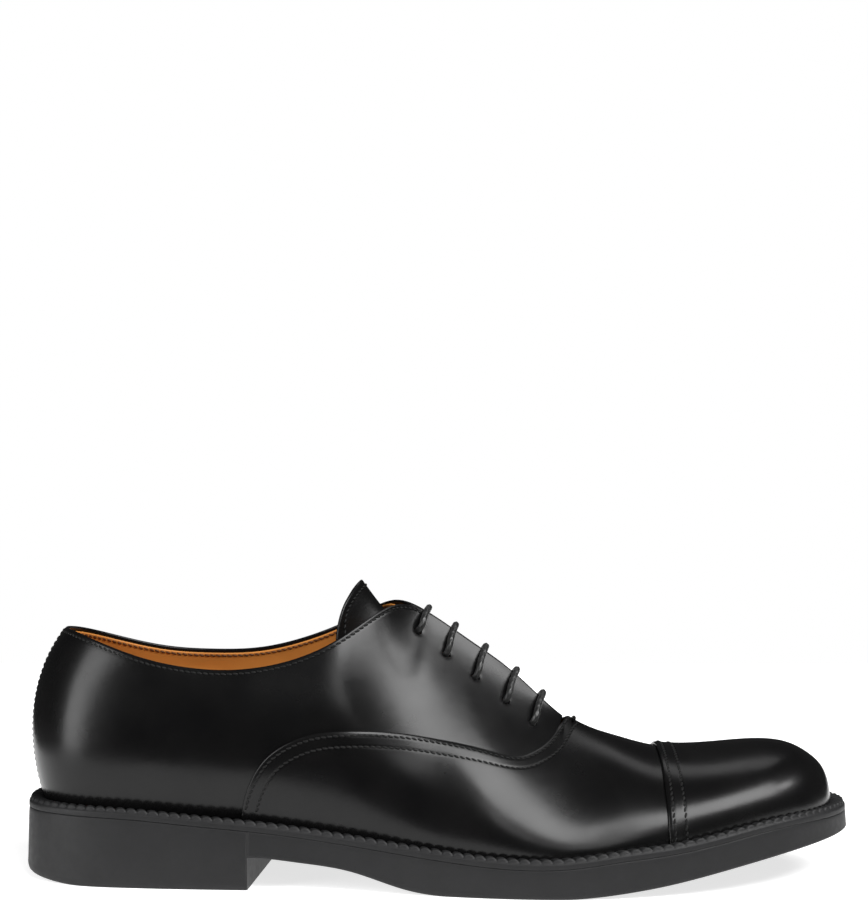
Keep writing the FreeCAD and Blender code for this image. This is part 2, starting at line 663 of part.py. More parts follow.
def make_outsole():
    """The moulded sole and heel, with its arch and toe spring."""
    y = -BIG / 2.0
    arch = Part.BSplineCurve()
    arch.interpolate(Points=[Vector(x, y, z) for x, z in ARCH],
                     InitialTangent=Vector(1.0, 0.0, 0.0), FinalTangent=Vector(1.0, 0.0, 0.0))
    spring = Part.BSplineCurve()
    spring.interpolate(Points=[Vector(x, y, z) for x, z in TOE_SPRING],
                       InitialTangent=Vector(1.0, 0.0, 0.0), FinalTangent=Vector(1.0, 0.0, 0.12))
    corners = [Vector(-160.0, y, 60.0), Vector(-160.0, y, ARCH[0][1]), Vector(ARCH[0][0], y, ARCH[0][1])]
    edges = [Part.LineSegment(a, b).toShape() for a, b in zip(corners, corners[1:])]
    edges.append(arch.toShape())
    edges.append(Part.LineSegment(Vector(ARCH[-1][0], y, 0.0), Vector(TREAD_END, y, 0.0)).toShape())
    edges.append(spring.toShape())
    edges.append(Part.LineSegment(Vector(160.0, y, 17.0), Vector(160.0, y, 60.0)).toShape())
    edges.append(Part.LineSegment(Vector(160.0, y, 60.0), corners[0]).toShape())
    above_ground = Part.Face(Part.Wire(edges)).extrude(Vector(0.0, BIG, 0.0))
    column = closed_outline(SOLE_OUTLINE).extrude(Vector(0.0, 0.0, 80.0))
    sole = column.common(above_ground).common(under_welt(WELT_THICK, 60.0))
    (x1, y1), (x2, y2) = HEEL_BREAST
    slope = (x2 - x1) / (y2 - y1)
    plan = [(-200.0, -100.0), (x1 + slope * (-100.0 - y1), -100.0),
            (x1 + slope * (100.0 - y1), 100.0), (-200.0, 100.0)]
    corners = [Vector(x, y, 0.0) for x, y in plan]
    block = Part.Face(Part.makePolygon(corners + corners[:1])).extrude(Vector(0.0, 0.0, HEEL_ROOT))
    bevel = Part.BSplineCurve()
    bevel.interpolate(Points=[Vector(x, y, z) for x, z in HEEL_BEVEL],
                      InitialTangent=Vector(-1.0, 0.0, 0.0), FinalTangent=Vector(-1.0, 0.0, 0.2))
    wedge = [bevel.toShape()]
    corners = [Vector(HEEL_BEVEL[-1][0], y, HEEL_BEVEL[-1][1]), Vector(HEEL_BEVEL[-1][0], y, -20.0),
               Vector(HEEL_BEVEL[0][0], y, -20.0), Vector(HEEL_BEVEL[0][0], y, 0.0)]
    wedge += [Part.LineSegment(a, b).toShape() for a, b in zip(corners, corners[1:])]
    block = block.cut(Part.Face(Part.Wire(wedge)).extrude(Vector(0.0, BIG, 0.0)))
    return sole.fuse(column.common(block)).removeSplitter().Solids[0]


def make_welt():
    """The storm welt: a flat ring round the edge of the upper."""
    outer = closed_outline(SOLE_OUTLINE).OuterWire
    inner = closed_outline(inset_outline(WELT_RING_INSET)).OuterWire
    ring = Part.Face(outer).cut(Part.Face(inner)).Faces[0]
    return ring.extrude(Vector(0.0, 0.0, 80.0)).common(under_welt(0.0, WELT_THICK)).Solids[0]


def make_shank():
    """The steel shank under the waist."""
    corners = [(SHANK_FROM, -SHANK_HALF_WIDTH), (SHANK_TO, -SHANK_HALF_WIDTH),
               (SHANK_TO, SHANK_HALF_WIDTH), (SHANK_FROM, SHANK_HALF_WIDTH)]
    points = [Vector(x, y, -10.0) for x, y in corners]
    strip = Part.Face(Part.makePolygon(points + points[:1])).extrude(Vector(0.0, 0.0, 80.0))
    corner_edges = [edge for edge in strip.Edges if abs(edge.BoundBox.ZLength - 80.0) < 0.1]
    strip = strip.makeFillet(SHANK_HALF_WIDTH * 0.7, corner_edges)
    return strip.common(under_welt(0.1, 0.1 + SHANK_THICK)).Solids[0]


def make_nails():
    """The heel nails: heads on the insole board, points down in the heel."""
    nails = []
    for x, y in NAIL_PLACES:
        top = WELT_TOP(x) - LIFT + BOARD_THICK
        head = Part.makeCylinder(NAIL_HEAD_RADIUS, 0.7, Vector(x, y, top - 1.1))
        shank = Part.makeCylinder(NAIL_RADIUS, NAIL_LENGTH, Vector(x, y, top - 0.9 - NAIL_LENGTH))
        nails.append(head.fuse(shank).removeSplitter())
    return nails


def make_bartack():
    """The thread bar that ties the throat together over the vamp's edge."""
    centre = upper_point("lateral", THROAT + 0.008, 1.0)
    points = []
    for side, height in (("lateral", 0.955), ("lateral", 0.985), ("medial", 0.985), ("medial", 0.955)):
        points.append(off_upper(side, THROAT + 0.008, height, LEATHER + GAP + 1.05))
    points[1].x = centre.x + 0.9
    points[2].x = centre.x + 0.9
    return tube(points, 0.55)


# ---- Assembly ----------------------------------------------------------------------------------
def build():
    """Return every sub-part as a name and a shape."""
    parts = {}
    for side in SIDES:
        parts["quarter_" + side] = punch_eyelets(make_quarter(side), side)
        parts["quarter_lining_" + side] = punch_eyelets(make_quarter_lining(side), side)
        parts["facing_tape_" + side] = punch_eyelets(make_facing_tape(side), side)
    parts["vamp"] = make_vamp()
    parts["toe_cap"] = make_toe_panel(CAP_SEAM, constant(GAP * 2.0 + 2.0 * LEATHER),
                                      constant(GAP * 2.0 + LEATHER), low=0.012)
    parts["toe_puff"] = make_toe_panel(VAMP_END + 0.006, constant(GAP + LEATHER), constant(GAP))
    parts["vamp_lining"] = make_toe_panel(
        THROAT + 0.002, vamp_lining_offset,
        lambda station, height: vamp_lining_offset(station, height) - LINING, count=18)
    parts["vamp_interlining"] = make_toe_panel(
        THROAT + 0.01, constant(0.0), constant(-INTERLINING), low=0.03, last=VAMP_END - 0.01, count=6)
    parts["heel_counter"] = make_counter()
    parts["tongue"] = tongue_layer(0.0, TONGUE_LEATHER)
    parts["tongue_lining"] = tongue_layer(TONGUE_LEATHER + 0.1, TONGUE_LEATHER + 0.1 + TONGUE_LINING)

    route = lace_route()
    parts["lace"] = tube(route, LACE_RADIUS, LACE_BEND)
    tails = {"lateral": (route[1], route[0], TAIL_LATERAL), "medial": (route[-2], route[-1], TAIL_MEDIAL)}
    for side, (inner, exit_point, places) in tails.items():
        heading = (exit_point - inner).normalize()
        points = [exit_point, exit_point + heading * TAIL_START] + [Vector(*place) for place in places]
        parts["lace_tail_" + side] = tube(points, LACE_RADIUS)
        parts["aglet_" + side] = make_aglet(points)
    parts["throat_bartack"] = make_bartack()

    nails = make_nails()
    parts["heel_nails"] = Part.makeCompound(nails)
    outsole = make_outsole()
    welt = make_welt()
    filler = flat_layer(inset_outline(WELT_RING_INSET + 0.1), 0.05, WELT_THICK)
    board = flat_layer(inset_outline(BOARD_INSET), -BOARD_THICK, 0.0)
    sock = flat_layer(inset_outline(SOCK_INSET), -BOARD_THICK - 0.05 - SOCK_THICK, -BOARD_THICK - 0.05)
    shank = make_shank()
    filler = filler.cut(shank)
    for nail in nails:
        outsole = outsole.cut(nail)
        filler = filler.cut(nail)
        board = board.cut(nail)
        shank = shank.cut(nail)
    parts["outsole"] = outsole
    parts["storm_welt"] = welt
    parts["cork_filler"] = filler
    parts["insole_board"] = board
    parts["sock_lining"] = sock
    parts["steel_shank"] = shank
    return parts


def main():
    """Write one STEP file for each sub-part."""
    os.makedirs("parts", exist_ok=True)
    for name, shape in build().items():
        box = shape.BoundBox
        print("%-24s valid %s solids %d volume %9.1f x %7.1f %7.1f y %6.1f %6.1f z %6.1f %6.1f" % (
            name, shape.isValid(), len(shape.Solids), shape.Volume,
            box.XMin, box.XMax, box.YMin, box.YMax, box.ZMin, box.ZMax))
        shape.exportStep("parts/" + name + ".step")


if __name__ == "__main__":
    main()
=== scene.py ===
"""Looks of the leather oxford shoe, in the frame of its CAD model.

Lengths in this script are millimetres, and MM turns them into the frame's metres.
"""
import math

import bmesh
import bpy
import numpy as np
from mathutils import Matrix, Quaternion, Vector, noise
from mathutils.kdtree import KDTree


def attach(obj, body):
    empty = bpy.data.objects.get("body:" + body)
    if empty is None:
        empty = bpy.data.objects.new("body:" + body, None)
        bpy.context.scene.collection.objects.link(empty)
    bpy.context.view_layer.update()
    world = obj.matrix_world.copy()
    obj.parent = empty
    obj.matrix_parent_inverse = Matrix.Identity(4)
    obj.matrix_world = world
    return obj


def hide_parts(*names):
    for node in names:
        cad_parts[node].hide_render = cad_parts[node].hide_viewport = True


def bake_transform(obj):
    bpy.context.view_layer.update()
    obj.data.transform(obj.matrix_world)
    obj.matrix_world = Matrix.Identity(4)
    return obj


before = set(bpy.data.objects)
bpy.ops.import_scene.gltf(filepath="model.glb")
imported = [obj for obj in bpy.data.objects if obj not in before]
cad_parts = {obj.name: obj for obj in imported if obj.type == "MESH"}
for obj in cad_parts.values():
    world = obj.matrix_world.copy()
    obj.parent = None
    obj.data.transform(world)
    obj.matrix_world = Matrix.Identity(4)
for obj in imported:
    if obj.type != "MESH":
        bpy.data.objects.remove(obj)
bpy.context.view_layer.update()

MM = 0.001

# ---- Layers ----
LEATHER = 1.25             # quarters, vamp and toe cap
LINING = 0.9
GAP = 0.18                 # air between neighbouring layers
COUNTER = 1.1              # heel counter
REINFORCEMENT = 0.5        # tape behind the eyelets
INTERLINING = 1.0
LINING_EDGE = 0.985        # height of a quarter lining's upper edge along the topline
FACING_EDGE = 0.945        # and along the facing
FACING_GAP = 1.5           # from the middle to the edge of a facing
FACING_PULL = 6            # power of the height that keeps this gap near the edge
RIDGE_START = 0.785        # from here to the throat the sides grow into one ridge
LIFT = 0.7                 # the upper's edge stands this far above the welt's flat

# ---- Stations round the upper ----
# The outer side from heel to toe: station, feather point, its handle, the top
# point's handle and the top point. The feather is where the upper meets the welt.
STATIONS = [
    (0.000, (-147, 0, 28.2), (-5.5, 0, 18), (-15.3, 0, -20), (-139, 0, 90.1)),
    (0.060, (-142.5, -13.5, 28.2), (-4, -3.5, 18), (-11, -7, -20), (-135, -12, 89.8)),
    (0.130, (-131, -23, 28), (-2, -5, 18), (-6, -9, -20), (-125, -21.5, 87)),
    (0.220, (-110, -28, 27.3), (0, -6, 17), (-1, -8, -20), (-106, -28.5, 81)),
    (0.310, (-88, -30, 25.5), (0, -6.5, 17), (0, -7.5, -19), (-86, -30.8, 77.5)),
    (0.400, (-66, -31, 23.6), (0, -7, 17), (0, -8, -19), (-66, -31.2, 77.8)),
    (0.480, (-44, -32.5, 21), (0, -7, 18), (0, -9, -21), (-46, -30, 83)),
    (0.540, (-26, -35, 18.6), (0, -7, 20), (-1, -11, -22), (-31, -25, 91)),
    (0.600, (-10, -38.5, 16.5), (0, -6.5, 22), (-4, -13, -16), (-16.5, -10.3, 98.8)),
    (0.650, (3, -41.5, 15), (0, -6, 23), (-7, -13, -12.5), (-5, -1.1, 96)),
    (0.710, (18, -44.5, 13.6), (0, -5.5, 22), (-8.5, -12.5, -12), (12, -0.3, 84.6)),
    (0.770, (32, -45.8, 13), (0, -3.5, 16), (-8.5, -12, -11.5), (29.5, 0, 71.6)),
    (0.830, (47, -45.5, 13.6), (0, -1, 10), (-4.5, -16, -6), (47.3, 0, 56.1)),
    (0.885, (64, -44, 15.8), (0, -0.5, 9), (0, -22, -0.5), (64, 0, 48.8)),
    (0.940, (81, -41.5, 17.7), (0, -2, 11.5), (0, -22, 0), (81, 0.3, 44.2)),
    (1.000, (100, -37, 21), (0, -2.5, 12), (0, -20.5, 0), (100, 1, 43.6)),
    (1.060, (117, -30.5, 24), (0, -2, 11), (0, -17.5, 0), (117, 1.8, 45)),
    (1.110, (130, -22.5, 25.2), (0, -1, 9.5), (0, -14, 0), (130, 2.4, 44)),
    (1.150, (138, -14, 25.4), (0, -0.5, 7.5), (0, -9.5, 0), (138, 2.8, 39.5)),
    (1.180, (142, -5.5, 25.4), (0, 0, 4.5), (0, -4.7, 0), (142, 3, 33.5)),
    (1.200, (143, 3, 25.4), (0, 0, 0), (0, 0, 0), (143, 3, 25.4)),
]
# The inner side has its own feather in plan and its own height of the topline.
MEDIAL_FEATHER_Y = [0, 13.5, 23, 27.5, 27.5, 26, 24.5, 24.5, 26, 29.5, 35,
                    41, 45.5, 46.5, 44, 39.5, 33.5, 26.5, 19.5, 11.5, 3]
MEDIAL_TOP_RISE = [0, -1.1, -1.8, -0.8, 1.1, 1.9, 2.3, 1.2, 0.3] + [0] * 12
STATION_SIZE = 170.0       # rough millimetres in one station and in one height
HEIGHT_SIZE = 60.0
SIDE_SEAM = 0.40
QUARTER_END = 0.826
THROAT = 0.83
CAP_SEAM = 0.94
VAMP_END = 0.975
TOE_END = 1.1985
TIP = 1.2
# (station, height) along the vamp's upper edge, and along the quarter's edge under the vamp.
VAMP_SEAM = [(0.384, 0.06), (0.387, 0.133), (0.400, 0.302), (0.422, 0.448), (0.451, 0.530),
             (0.480, 0.562), (0.517, 0.552), (0.590, 0.455), (0.655, 0.430), (0.718, 0.465),
             (0.774, 0.530), (0.795, 0.603), (0.814, 0.718), (0.823, 0.838), (0.830, 1.0)]
QUARTER_UNDERLAP = [(0.400, 0.0), (0.430, 0.20), (0.460, 0.37), (0.500, 0.42), (0.590, 0.33),
                    (0.655, 0.30), (0.720, 0.33), (0.775, 0.40), (0.826, 0.52)]

# ---- Lacing ----
# (station, height) of the lace holes of a facing, from the top one down.
EYELETS = [(0.647, 0.863), (0.687, 0.830), (0.725, 0.815), (0.764, 0.802), (0.797, 0.791)]
EYELET_RADIUS = 1.5
LACE_RADIUS = 1.2
LACE_OUT = 2.2             # the lace's middle outside the facings
LACE_ARCH = 0.45           # further out between eyelet and ridge
LACE_APEX = 3.4            # and above the ridge
LACE_IN = 4.6              # the lace's middle inside the facings
BYPASS = 0.058             # height that an inside run keeps from an eyelet
LACE_DROP = 0.11           # height between an end eyelet and the lace's end below it

LATERAL = 0
MEDIAL = 1


# ---- Curves ----
def natural_spline(places, values, flat_start=False, flat_end=False):
    """Return the smooth function through values; a flat end has no slope there."""
    places = np.asarray(places, float)
    values = np.asarray(values, float)
    count = len(places)
    steps = np.diff(places)
    slopes = np.diff(values) / steps
    matrix = np.eye(count)
    right = np.zeros(count)
    for i in range(1, count - 1):
        matrix[i, i - 1:i + 2] = steps[i - 1], 2.0 * (steps[i - 1] + steps[i]), steps[i]
        right[i] = 6.0 * (slopes[i] - slopes[i - 1])
    if flat_start:
        matrix[0, :2] = 2.0 * steps[0], steps[0]
        right[0] = 6.0 * slopes[0]
    if flat_end:
        matrix[-1, -2:] = steps[-1], 2.0 * steps[-1]
        right[-1] = -6.0 * slopes[-1]
    bend = np.linalg.solve(matrix, right)

    def value(place):
        place = np.clip(place, places[0], places[-1])
        i = np.clip(np.searchsorted(places, place, side="right") - 1, 0, count - 2)
        after = places[i + 1] - place
        before = place - places[i]
        step = steps[i]
        curve = (bend[i] * after ** 3 + bend[i + 1] * before ** 3) / (6.0 * step)
        left = (values[i] / step - bend[i] * step / 6.0) * after
        return curve + left + (values[i + 1] / step - bend[i + 1] * step / 6.0) * before

    return value


def smooth_step(value, start, end):
    """Go from 0 at start to 1 at end with level ends."""
    part = np.clip((value - start) / (end - start), 0.0, 1.0)
    return part * part * (3.0 - 2.0 * part)


def unit(vectors):
    """Return vectors at length one."""
    return vectors / np.maximum(np.linalg.norm(vectors, axis=-1, keepdims=True), 1e-12)


def distances(line):
    """Return the distance along a line at each of its points."""
    return np.concatenate([[0.0], np.cumsum(np.linalg.norm(np.diff(line, axis=0), axis=1))])


def line_at(line, along, places):
    """Return the points of a line at distances along it."""
    return np.stack([np.interp(places, along, line[:, k]) for k in range(line.shape[1])], 1)


def pair_curve(pairs):
    """Return the smooth curve through (station, height) pairs, as a function of 0 to 1."""
    pairs = np.asarray(pairs)
    along = distances(pairs * (STATION_SIZE, HEIGHT_SIZE))
    first, second = [natural_spline(along / along[-1], pairs[:, k]) for k in (0, 1)]
    return lambda part: (first(part), second(part))


# ---- The upper's surface ----
def side_curves(side):
    """Return the four control curves of one side, as functions of the station."""
    flat_at_tip = [(True, False, True), (True, False, False), (True, False, False), (True, True, False)]
    places = [row[0] for row in STATIONS]
    curves = []
    for kind in range(4):
        points = np.array([row[kind + 1] for row in STATIONS], float)
        if side == MEDIAL and kind == 0:
            points[:, 1] = MEDIAL_FEATHER_Y
        elif side == MEDIAL and kind == 3:
            points[:, 1] *= np.where(np.array(places) <= THROAT, -1.0, 1.0)
            points[:, 2] += MEDIAL_TOP_RISE
        elif side == MEDIAL:
            points[:, 1] *= -1.0
        curves.append([natural_spline(places, points[:, axis], axis != 1, flat_at_tip[kind][axis])
                       for axis in range(3)])
    return curves


SIDES = [side_curves(LATERAL), side_curves(MEDIAL)]


def curve_points(side, kind, station):
    """Return points of one control curve."""
    return np.stack([part(station) for part in SIDES[side][kind]], -1)


def top_points(side, station):
    """Return the topline, facing edge or ridge; past the throat the sides share it."""
    own = curve_points(side, 3, station)
    other = curve_points(1 - side, 3, station)
    return own + (other - own) * (0.5 * smooth_step(station, RIDGE_START, THROAT))[..., None]


def facing_gap(side, station, height):
    """Return how far sideways the upper gives way to the gap between the facings."""
    outward = -1.0 if side == LATERAL else 1.0
    opened = smooth_step(station, 0.54, 0.60) * (1.0 - smooth_step(station, THROAT - 0.006, THROAT))
    return outward * FACING_GAP * opened * height ** FACING_PULL


def upper_points(side, station, height):
    """Return points of the upper's surface, the quarters' outer face; height is 0 to 1."""
    station, height = np.broadcast_arrays(np.asarray(station, float), np.asarray(height, float))
    feather = curve_points(side, 0, station)
    top = top_points(side, station)
    low = feather + curve_points(side, 1, station)
    high = top + curve_points(side, 2, station)
    part = height[..., None]
    rest = 1.0 - part
    point = feather * rest ** 3 + 3.0 * low * part * rest ** 2
    point += 3.0 * high * part ** 2 * rest + top * part ** 3
    point[..., 1] += facing_gap(side, station, height)
    return point


def side_normals(side, station, height):
    """Return unit vectors out of one side of the upper's surface."""
    step = 0.001
    station = np.minimum(station, TOE_END)
    along = upper_points(side, np.minimum(station + step, TIP), height)
    along -= upper_points(side, np.maximum(station - step, 0.0), height)
    along[..., 0] = np.where(station < step, 0.0, along[..., 0])
    along[..., 2] = np.where(station < step, 0.0, along[..., 2])
    up = upper_points(side, station, np.minimum(height + step, 1.0))
    up -= upper_points(side, station, np.maximum(height - step, 0.0))
    normal = np.cross(along, up) if side == LATERAL else np.cross(up, along)
    return unit(normal)


def upper_normals(side, station, height):
    """Return unit vectors out of the surface; near the ridge the sides share them."""
    station, height = np.broadcast_arrays(np.asarray(station, float), np.asarray(height, float))
    own = side_normals(side, station, height)
    on_ridge = ((height > 0.999) & (station > THROAT - 0.0001))[..., None]
    both = unit(side_normals(LATERAL, station, height) + side_normals(MEDIAL, station, height))
    return np.where(on_ridge, both, own)


def off_upper(side, station, height, distance):
    """Return points at a distance outside the upper's surface."""
    distance = np.asarray(distance, float)[..., None]
    return upper_points(side, station, height) + upper_normals(side, station, height) * distance


def surface_step(side, pair, move):
    """Return the (station, height) reached from pair by a move along the surface."""
    step = 0.001
    s, t = pair
    here = upper_points(side, s, t)
    by_s = (upper_points(side, s + step, t) - here) / step
    t_step = np.where(t > 0.5, -step, step)
    by_t = (upper_points(side, s, t + t_step) - here) / t_step[..., None]
    a = (by_s * by_s).sum(-1)
    b = (by_s * by_t).sum(-1)
    c = (by_t * by_t).sum(-1)
    p = (by_s * move).sum(-1)
    q = (by_t * move).sum(-1)
    det = a * c - b * b
    return s + (c * p - b * q) / det, t + (a * q - b * p) / det


def inset_pairs(side, pairs, distance, inward):
    """Return the line that runs a distance inside a seam's edge, as (station, height)."""
    s, t = np.asarray(pairs[0], float), np.asarray(pairs[1], float)
    points = upper_points(side, s, t)
    along = unit(np.gradient(points, axis=0))
    across = unit(np.cross(upper_normals(side, s, t), along)) * inward
    steps = 4
    for _ in range(steps):
        s, t = surface_step(side, (s, t), across * distance / steps)
    return s, np.clip(t, 0.0, 1.0)


# ---- Meshes ----
RIM_LINES = 6              # lines of points round a sheet's rim
GROOVE_WIDTH = 0.4
GROOVE_DEPTH = 0.08
STITCH_PITCH = 2.1
STITCH_LENGTH = 2.15
STITCH_RADIUS = 0.42
STITCH_SAG = 0.2
STITCH_SLANT = -0.30       # radians off the row
STITCH_MARGIN = 0.6        # from a row's end to its first stitch


def new_object(name, points, faces, smooth=True):
    """Make a mesh object from points in millimetres."""
    if isinstance(faces, np.ndarray):
        faces = faces.tolist()
    mesh = bpy.data.meshes.new(name)
    mesh.from_pydata((np.asarray(points, float) * MM).tolist(), [], faces)
    mesh.validate()
    mesh.polygons.foreach_set("use_smooth", np.full(len(mesh.polygons), smooth))
    mesh.update()
    piece = bpy.data.objects.new(name, mesh)
    bpy.context.scene.collection.objects.link(piece)
    return piece


def grid_quads(rows, columns, start=0, flip=False, closed=False):
    """Return quads of a grid of points; closed joins the last row to the first."""
    last = rows if closed else rows - 1
    i, j = [part.ravel() for part in np.meshgrid(np.arange(last), np.arange(columns - 1), indexing="ij")]
    here = i * columns + j
    after = (i + 1) % rows * columns + j
    quads = np.stack([here, after, after + 1, here + 1], 1)
    return (quads[:, ::-1] if flip else quads) + start


def weld(piece, distance=0.0005):
    """Join points that lie together and make the faces look outwards."""
    work = bmesh.new()
    work.from_mesh(piece.data)
    bmesh.ops.remove_doubles(work, verts=work.verts, dist=distance * MM)
    bmesh.ops.dissolve_degenerate(work, dist=0.0001 * MM, edges=work.edges)
    bmesh.ops.recalc_face_normals(work, faces=work.faces)
    work.to_mesh(piece.data)
    work.free()
    piece.data.polygons.foreach_set("use_smooth", np.ones(len(piece.data.polygons), bool))
    piece.data.update()
    return piece


def shell(name, grids):
    """Make one object of grids of points, given as (grid, whether its faces are turned over)."""
    points = []
    faces = []
    start = 0
    for grid, flip in grids:
        points.append(grid.reshape(-1, 3))
        faces.append(grid_quads(*grid.shape[:2], start, flip))
        start += len(points[-1])
    return weld(new_object(name, np.concatenate(points), np.concatenate(faces)))


def edge_lines(grid, edge):
    """Return an edge line of a grid and its neighbour line."""
    lines = {"u0": (grid[0], grid[1]), "u1": (grid[-1], grid[-2]),
             "v0": (grid[:, 0], grid[:, 1]), "v1": (grid[:, -1], grid[:, -2])}
    return lines[edge]


def sheet(name, patches):
    """Make a closed sheet from (outer, inner, {edge: roundness}); 1 makes a rim a half circle."""
    angles = np.linspace(0.0, math.pi, RIM_LINES)
    grids = []
    for outer, inner, rims in patches:
        grids += [(outer, False), (inner, True)]
        for edge, roundness in rims.items():
            outer_line, outer_next = edge_lines(outer, edge)
            inner_line, inner_next = edge_lines(inner, edge)
            centre = 0.5 * (outer_line + inner_line)
            reach = 0.5 * (outer_line - inner_line)
            away = outer_line - outer_next + inner_line - inner_next
            away = unit(away - reach * ((away * reach).sum(-1) / (reach * reach).sum(-1))[..., None])
            away *= roundness * np.linalg.norm(reach, axis=-1, keepdims=True)
            rim = np.stack([centre + reach * math.cos(a) + away * math.sin(a) for a in angles], 1)
            grids.append((rim, False))
    return shell(name, grids)


def patch_grid(lower, upper, u_count, v_count):
    """Return (station, height) grids between two lines given as functions of 0 to 1."""
    u = np.linspace(0.0, 1.0, u_count + 1)
    v = np.linspace(0.0, 1.0, v_count + 1)
    s0, t0 = [np.broadcast_to(part, u.shape)[:, None] for part in lower(u)]
    s1, t1 = [np.broadcast_to(part, u.shape)[:, None] for part in upper(u)]
    return s0 + (s1 - s0) * v, t0 + (t1 - t0) * v


def level_line(first, last, height):
    """Return a line at one height from station first to station last."""
    return lambda part: (first + (last - first) * part, height + 0.0 * part)


def nearest(points, line):
    """Return the distance from each point to a dense line of points."""
    tree = KDTree(len(line))
    for index, point in enumerate(line):
        tree.insert(point, index)
    tree.balance()
    flat = points.reshape(-1, 3)
    found = np.array([tree.find(point)[2] for point in flat])
    return found.reshape(points.shape[:-1])


def ripple(points, size, amount):
    """Return small smooth random offsets at points."""
    flat = points.reshape(-1, 3) / size
    values = np.array([noise.noise(Vector(point)) for point in flat])
    return (values * amount).reshape(points.shape[:-1])


def groove(points, lines, width=GROOVE_WIDTH, depth=GROOVE_DEPTH):
    """Return how far points sink beside lines."""
    apart = nearest(points, np.concatenate(lines))
    return depth * np.exp(-(apart / width) ** 2)


def stitch_shape():
    """Return points and faces of one stitch: a thread bar that dips at both ends."""
    rings = 6
    sides = 6
    half = 0.5 * STITCH_LENGTH
    points = [(-half, 0.0, -STITCH_SAG)]
    for i in range(rings):
        turn = math.pi * (i + 0.5) / rings
        along = -half * math.cos(turn)
        wide = STITCH_RADIUS * math.sin(turn) ** 0.6
        dip = STITCH_SAG * (along / half) ** 2
        for k in range(sides):
            around = 2.0 * math.pi * k / sides
            points.append((along, wide * math.cos(around), wide * math.sin(around) - dip))
    points.append((half, 0.0, -STITCH_SAG))
    after = [(k + 1) % sides for k in range(sides)]
    faces = [(0, 1 + after[k], 1 + k) for k in range(sides)]
    for first in range(1, 1 + (rings - 1) * sides, sides):
        faces += [(first + k, first + after[k], first + after[k] + sides, first + k + sides)
                  for k in range(sides)]
    last = 1 + rings * sides
    faces += [(last, last - sides + k, last - sides + after[k]) for k in range(sides)]
    return np.array(points), faces


def stitches(name, rows):
    """Make rows of thread stitches; a row is its points and the normals there."""
    template, template_faces = stitch_shape()
    reach = 0.4
    shapes = []
    for points, normals in rows:
        distance = distances(points)
        count = max(int((distance[-1] - 2.0 * STITCH_MARGIN) / STITCH_PITCH), 2)
        places = np.linspace(STITCH_MARGIN, distance[-1] - STITCH_MARGIN, count)
        centres = line_at(points, distance, places)
        along = unit(line_at(points, distance, places + reach) - line_at(points, distance, places - reach))
        up = unit(line_at(normals, distance, places))
        across = unit(np.cross(up, along))
        ahead = along * math.cos(STITCH_SLANT) + across * math.sin(STITCH_SLANT)
        aside = across * math.cos(STITCH_SLANT) - along * math.sin(STITCH_SLANT)
        shapes.append((template @ np.stack([ahead, aside, up], 1) + centres[:, None]).reshape(-1, 3))
    points = np.concatenate(shapes)
    faces = [tuple(start + index for index in face)
             for start in range(0, len(points), len(template)) for face in template_faces]
    return new_object(name, points, faces)


def spline_object(name, points, resolution):
    """Make a curve object with the smooth spline that is steered by points."""
    curve = bpy.data.curves.new(name, "CURVE")
    curve.dimensions = "3D"
    curve.resolution_u = resolution
    spline = curve.splines.new("NURBS")
    spline.points.add(len(points) - 1)
    for slot, point in zip(spline.points, points):
        slot.co = (*point, 1.0)
    spline.order_u = 3
    spline.use_endpoint_u = True
    piece = bpy.data.objects.new(name, curve)
    bpy.context.scene.collection.objects.link(piece)
    return piece


def curve_line(points):
    """Return the points of the smooth spline that is steered by a route's points."""
    holder = spline_object("route", points, 24)
    bpy.context.view_layer.update()
    mesh = bpy.data.meshes.new_from_object(holder)
    line = np.array([vertex.co[:] for vertex in mesh.vertices])
    bpy.data.objects.remove(holder)
    bpy.data.meshes.remove(mesh)
    return line


def carried_frames(line):
    """Return two side axes carried along a line without twist."""
    along = unit(np.gradient(line, axis=0))
    side = np.zeros_like(line)
    side[0] = unit(np.cross(along[0], (0.0, 0.0, 1.0)))
    for i in range(1, len(line)):
        side[i] = unit(side[i - 1] - along[i] * np.dot(side[i - 1], along[i]))
    return side, np.cross(along, side)


def braided_cord(name, route, radius):
    """Make a round braided cord that follows the spline of a route, in millimetres."""
    step = 0.3
    around = 20
    strands = 5
    twist = 2.0 * math.pi * 0.35 / 5.2     # radians that a strand turns in a millimetre
    end = 0.6                  # the cord narrows over this length at its ends
    line = curve_line(route)
    along = distances(line)
    places = np.linspace(0.0, along[-1], int(along[-1] / step) + 1)
    line = line_at(line, along, places)
    side, other = carried_frames(line)
    turn = np.linspace(0.0, 2.0 * math.pi, around, endpoint=False)
    one, two = [np.sin(strands * (turn + way * twist * places[:, None])) for way in (1.0, -1.0)]
    ends = smooth_step(places, -0.01, end) * smooth_step(places[-1] - places, -0.01, end)
    wide = radius * (0.90 + 0.12 * np.maximum(one, two)) * (0.55 + 0.45 * ends)[:, None]
    points = (line[:, None] + side[:, None] * (wide * np.cos(turn))[..., None]
              + other[:, None] * (wide * np.sin(turn))[..., None])
    count = len(line)
    faces = grid_quads(around, count, closed=True).tolist()
    faces.append(tuple(k * count for k in range(around)))
    faces.append(tuple(k * count + count - 1 for k in reversed(range(around))))
    return weld(new_object(name, points.transpose(1, 0, 2).reshape(-1, 3), faces), 0.0001)


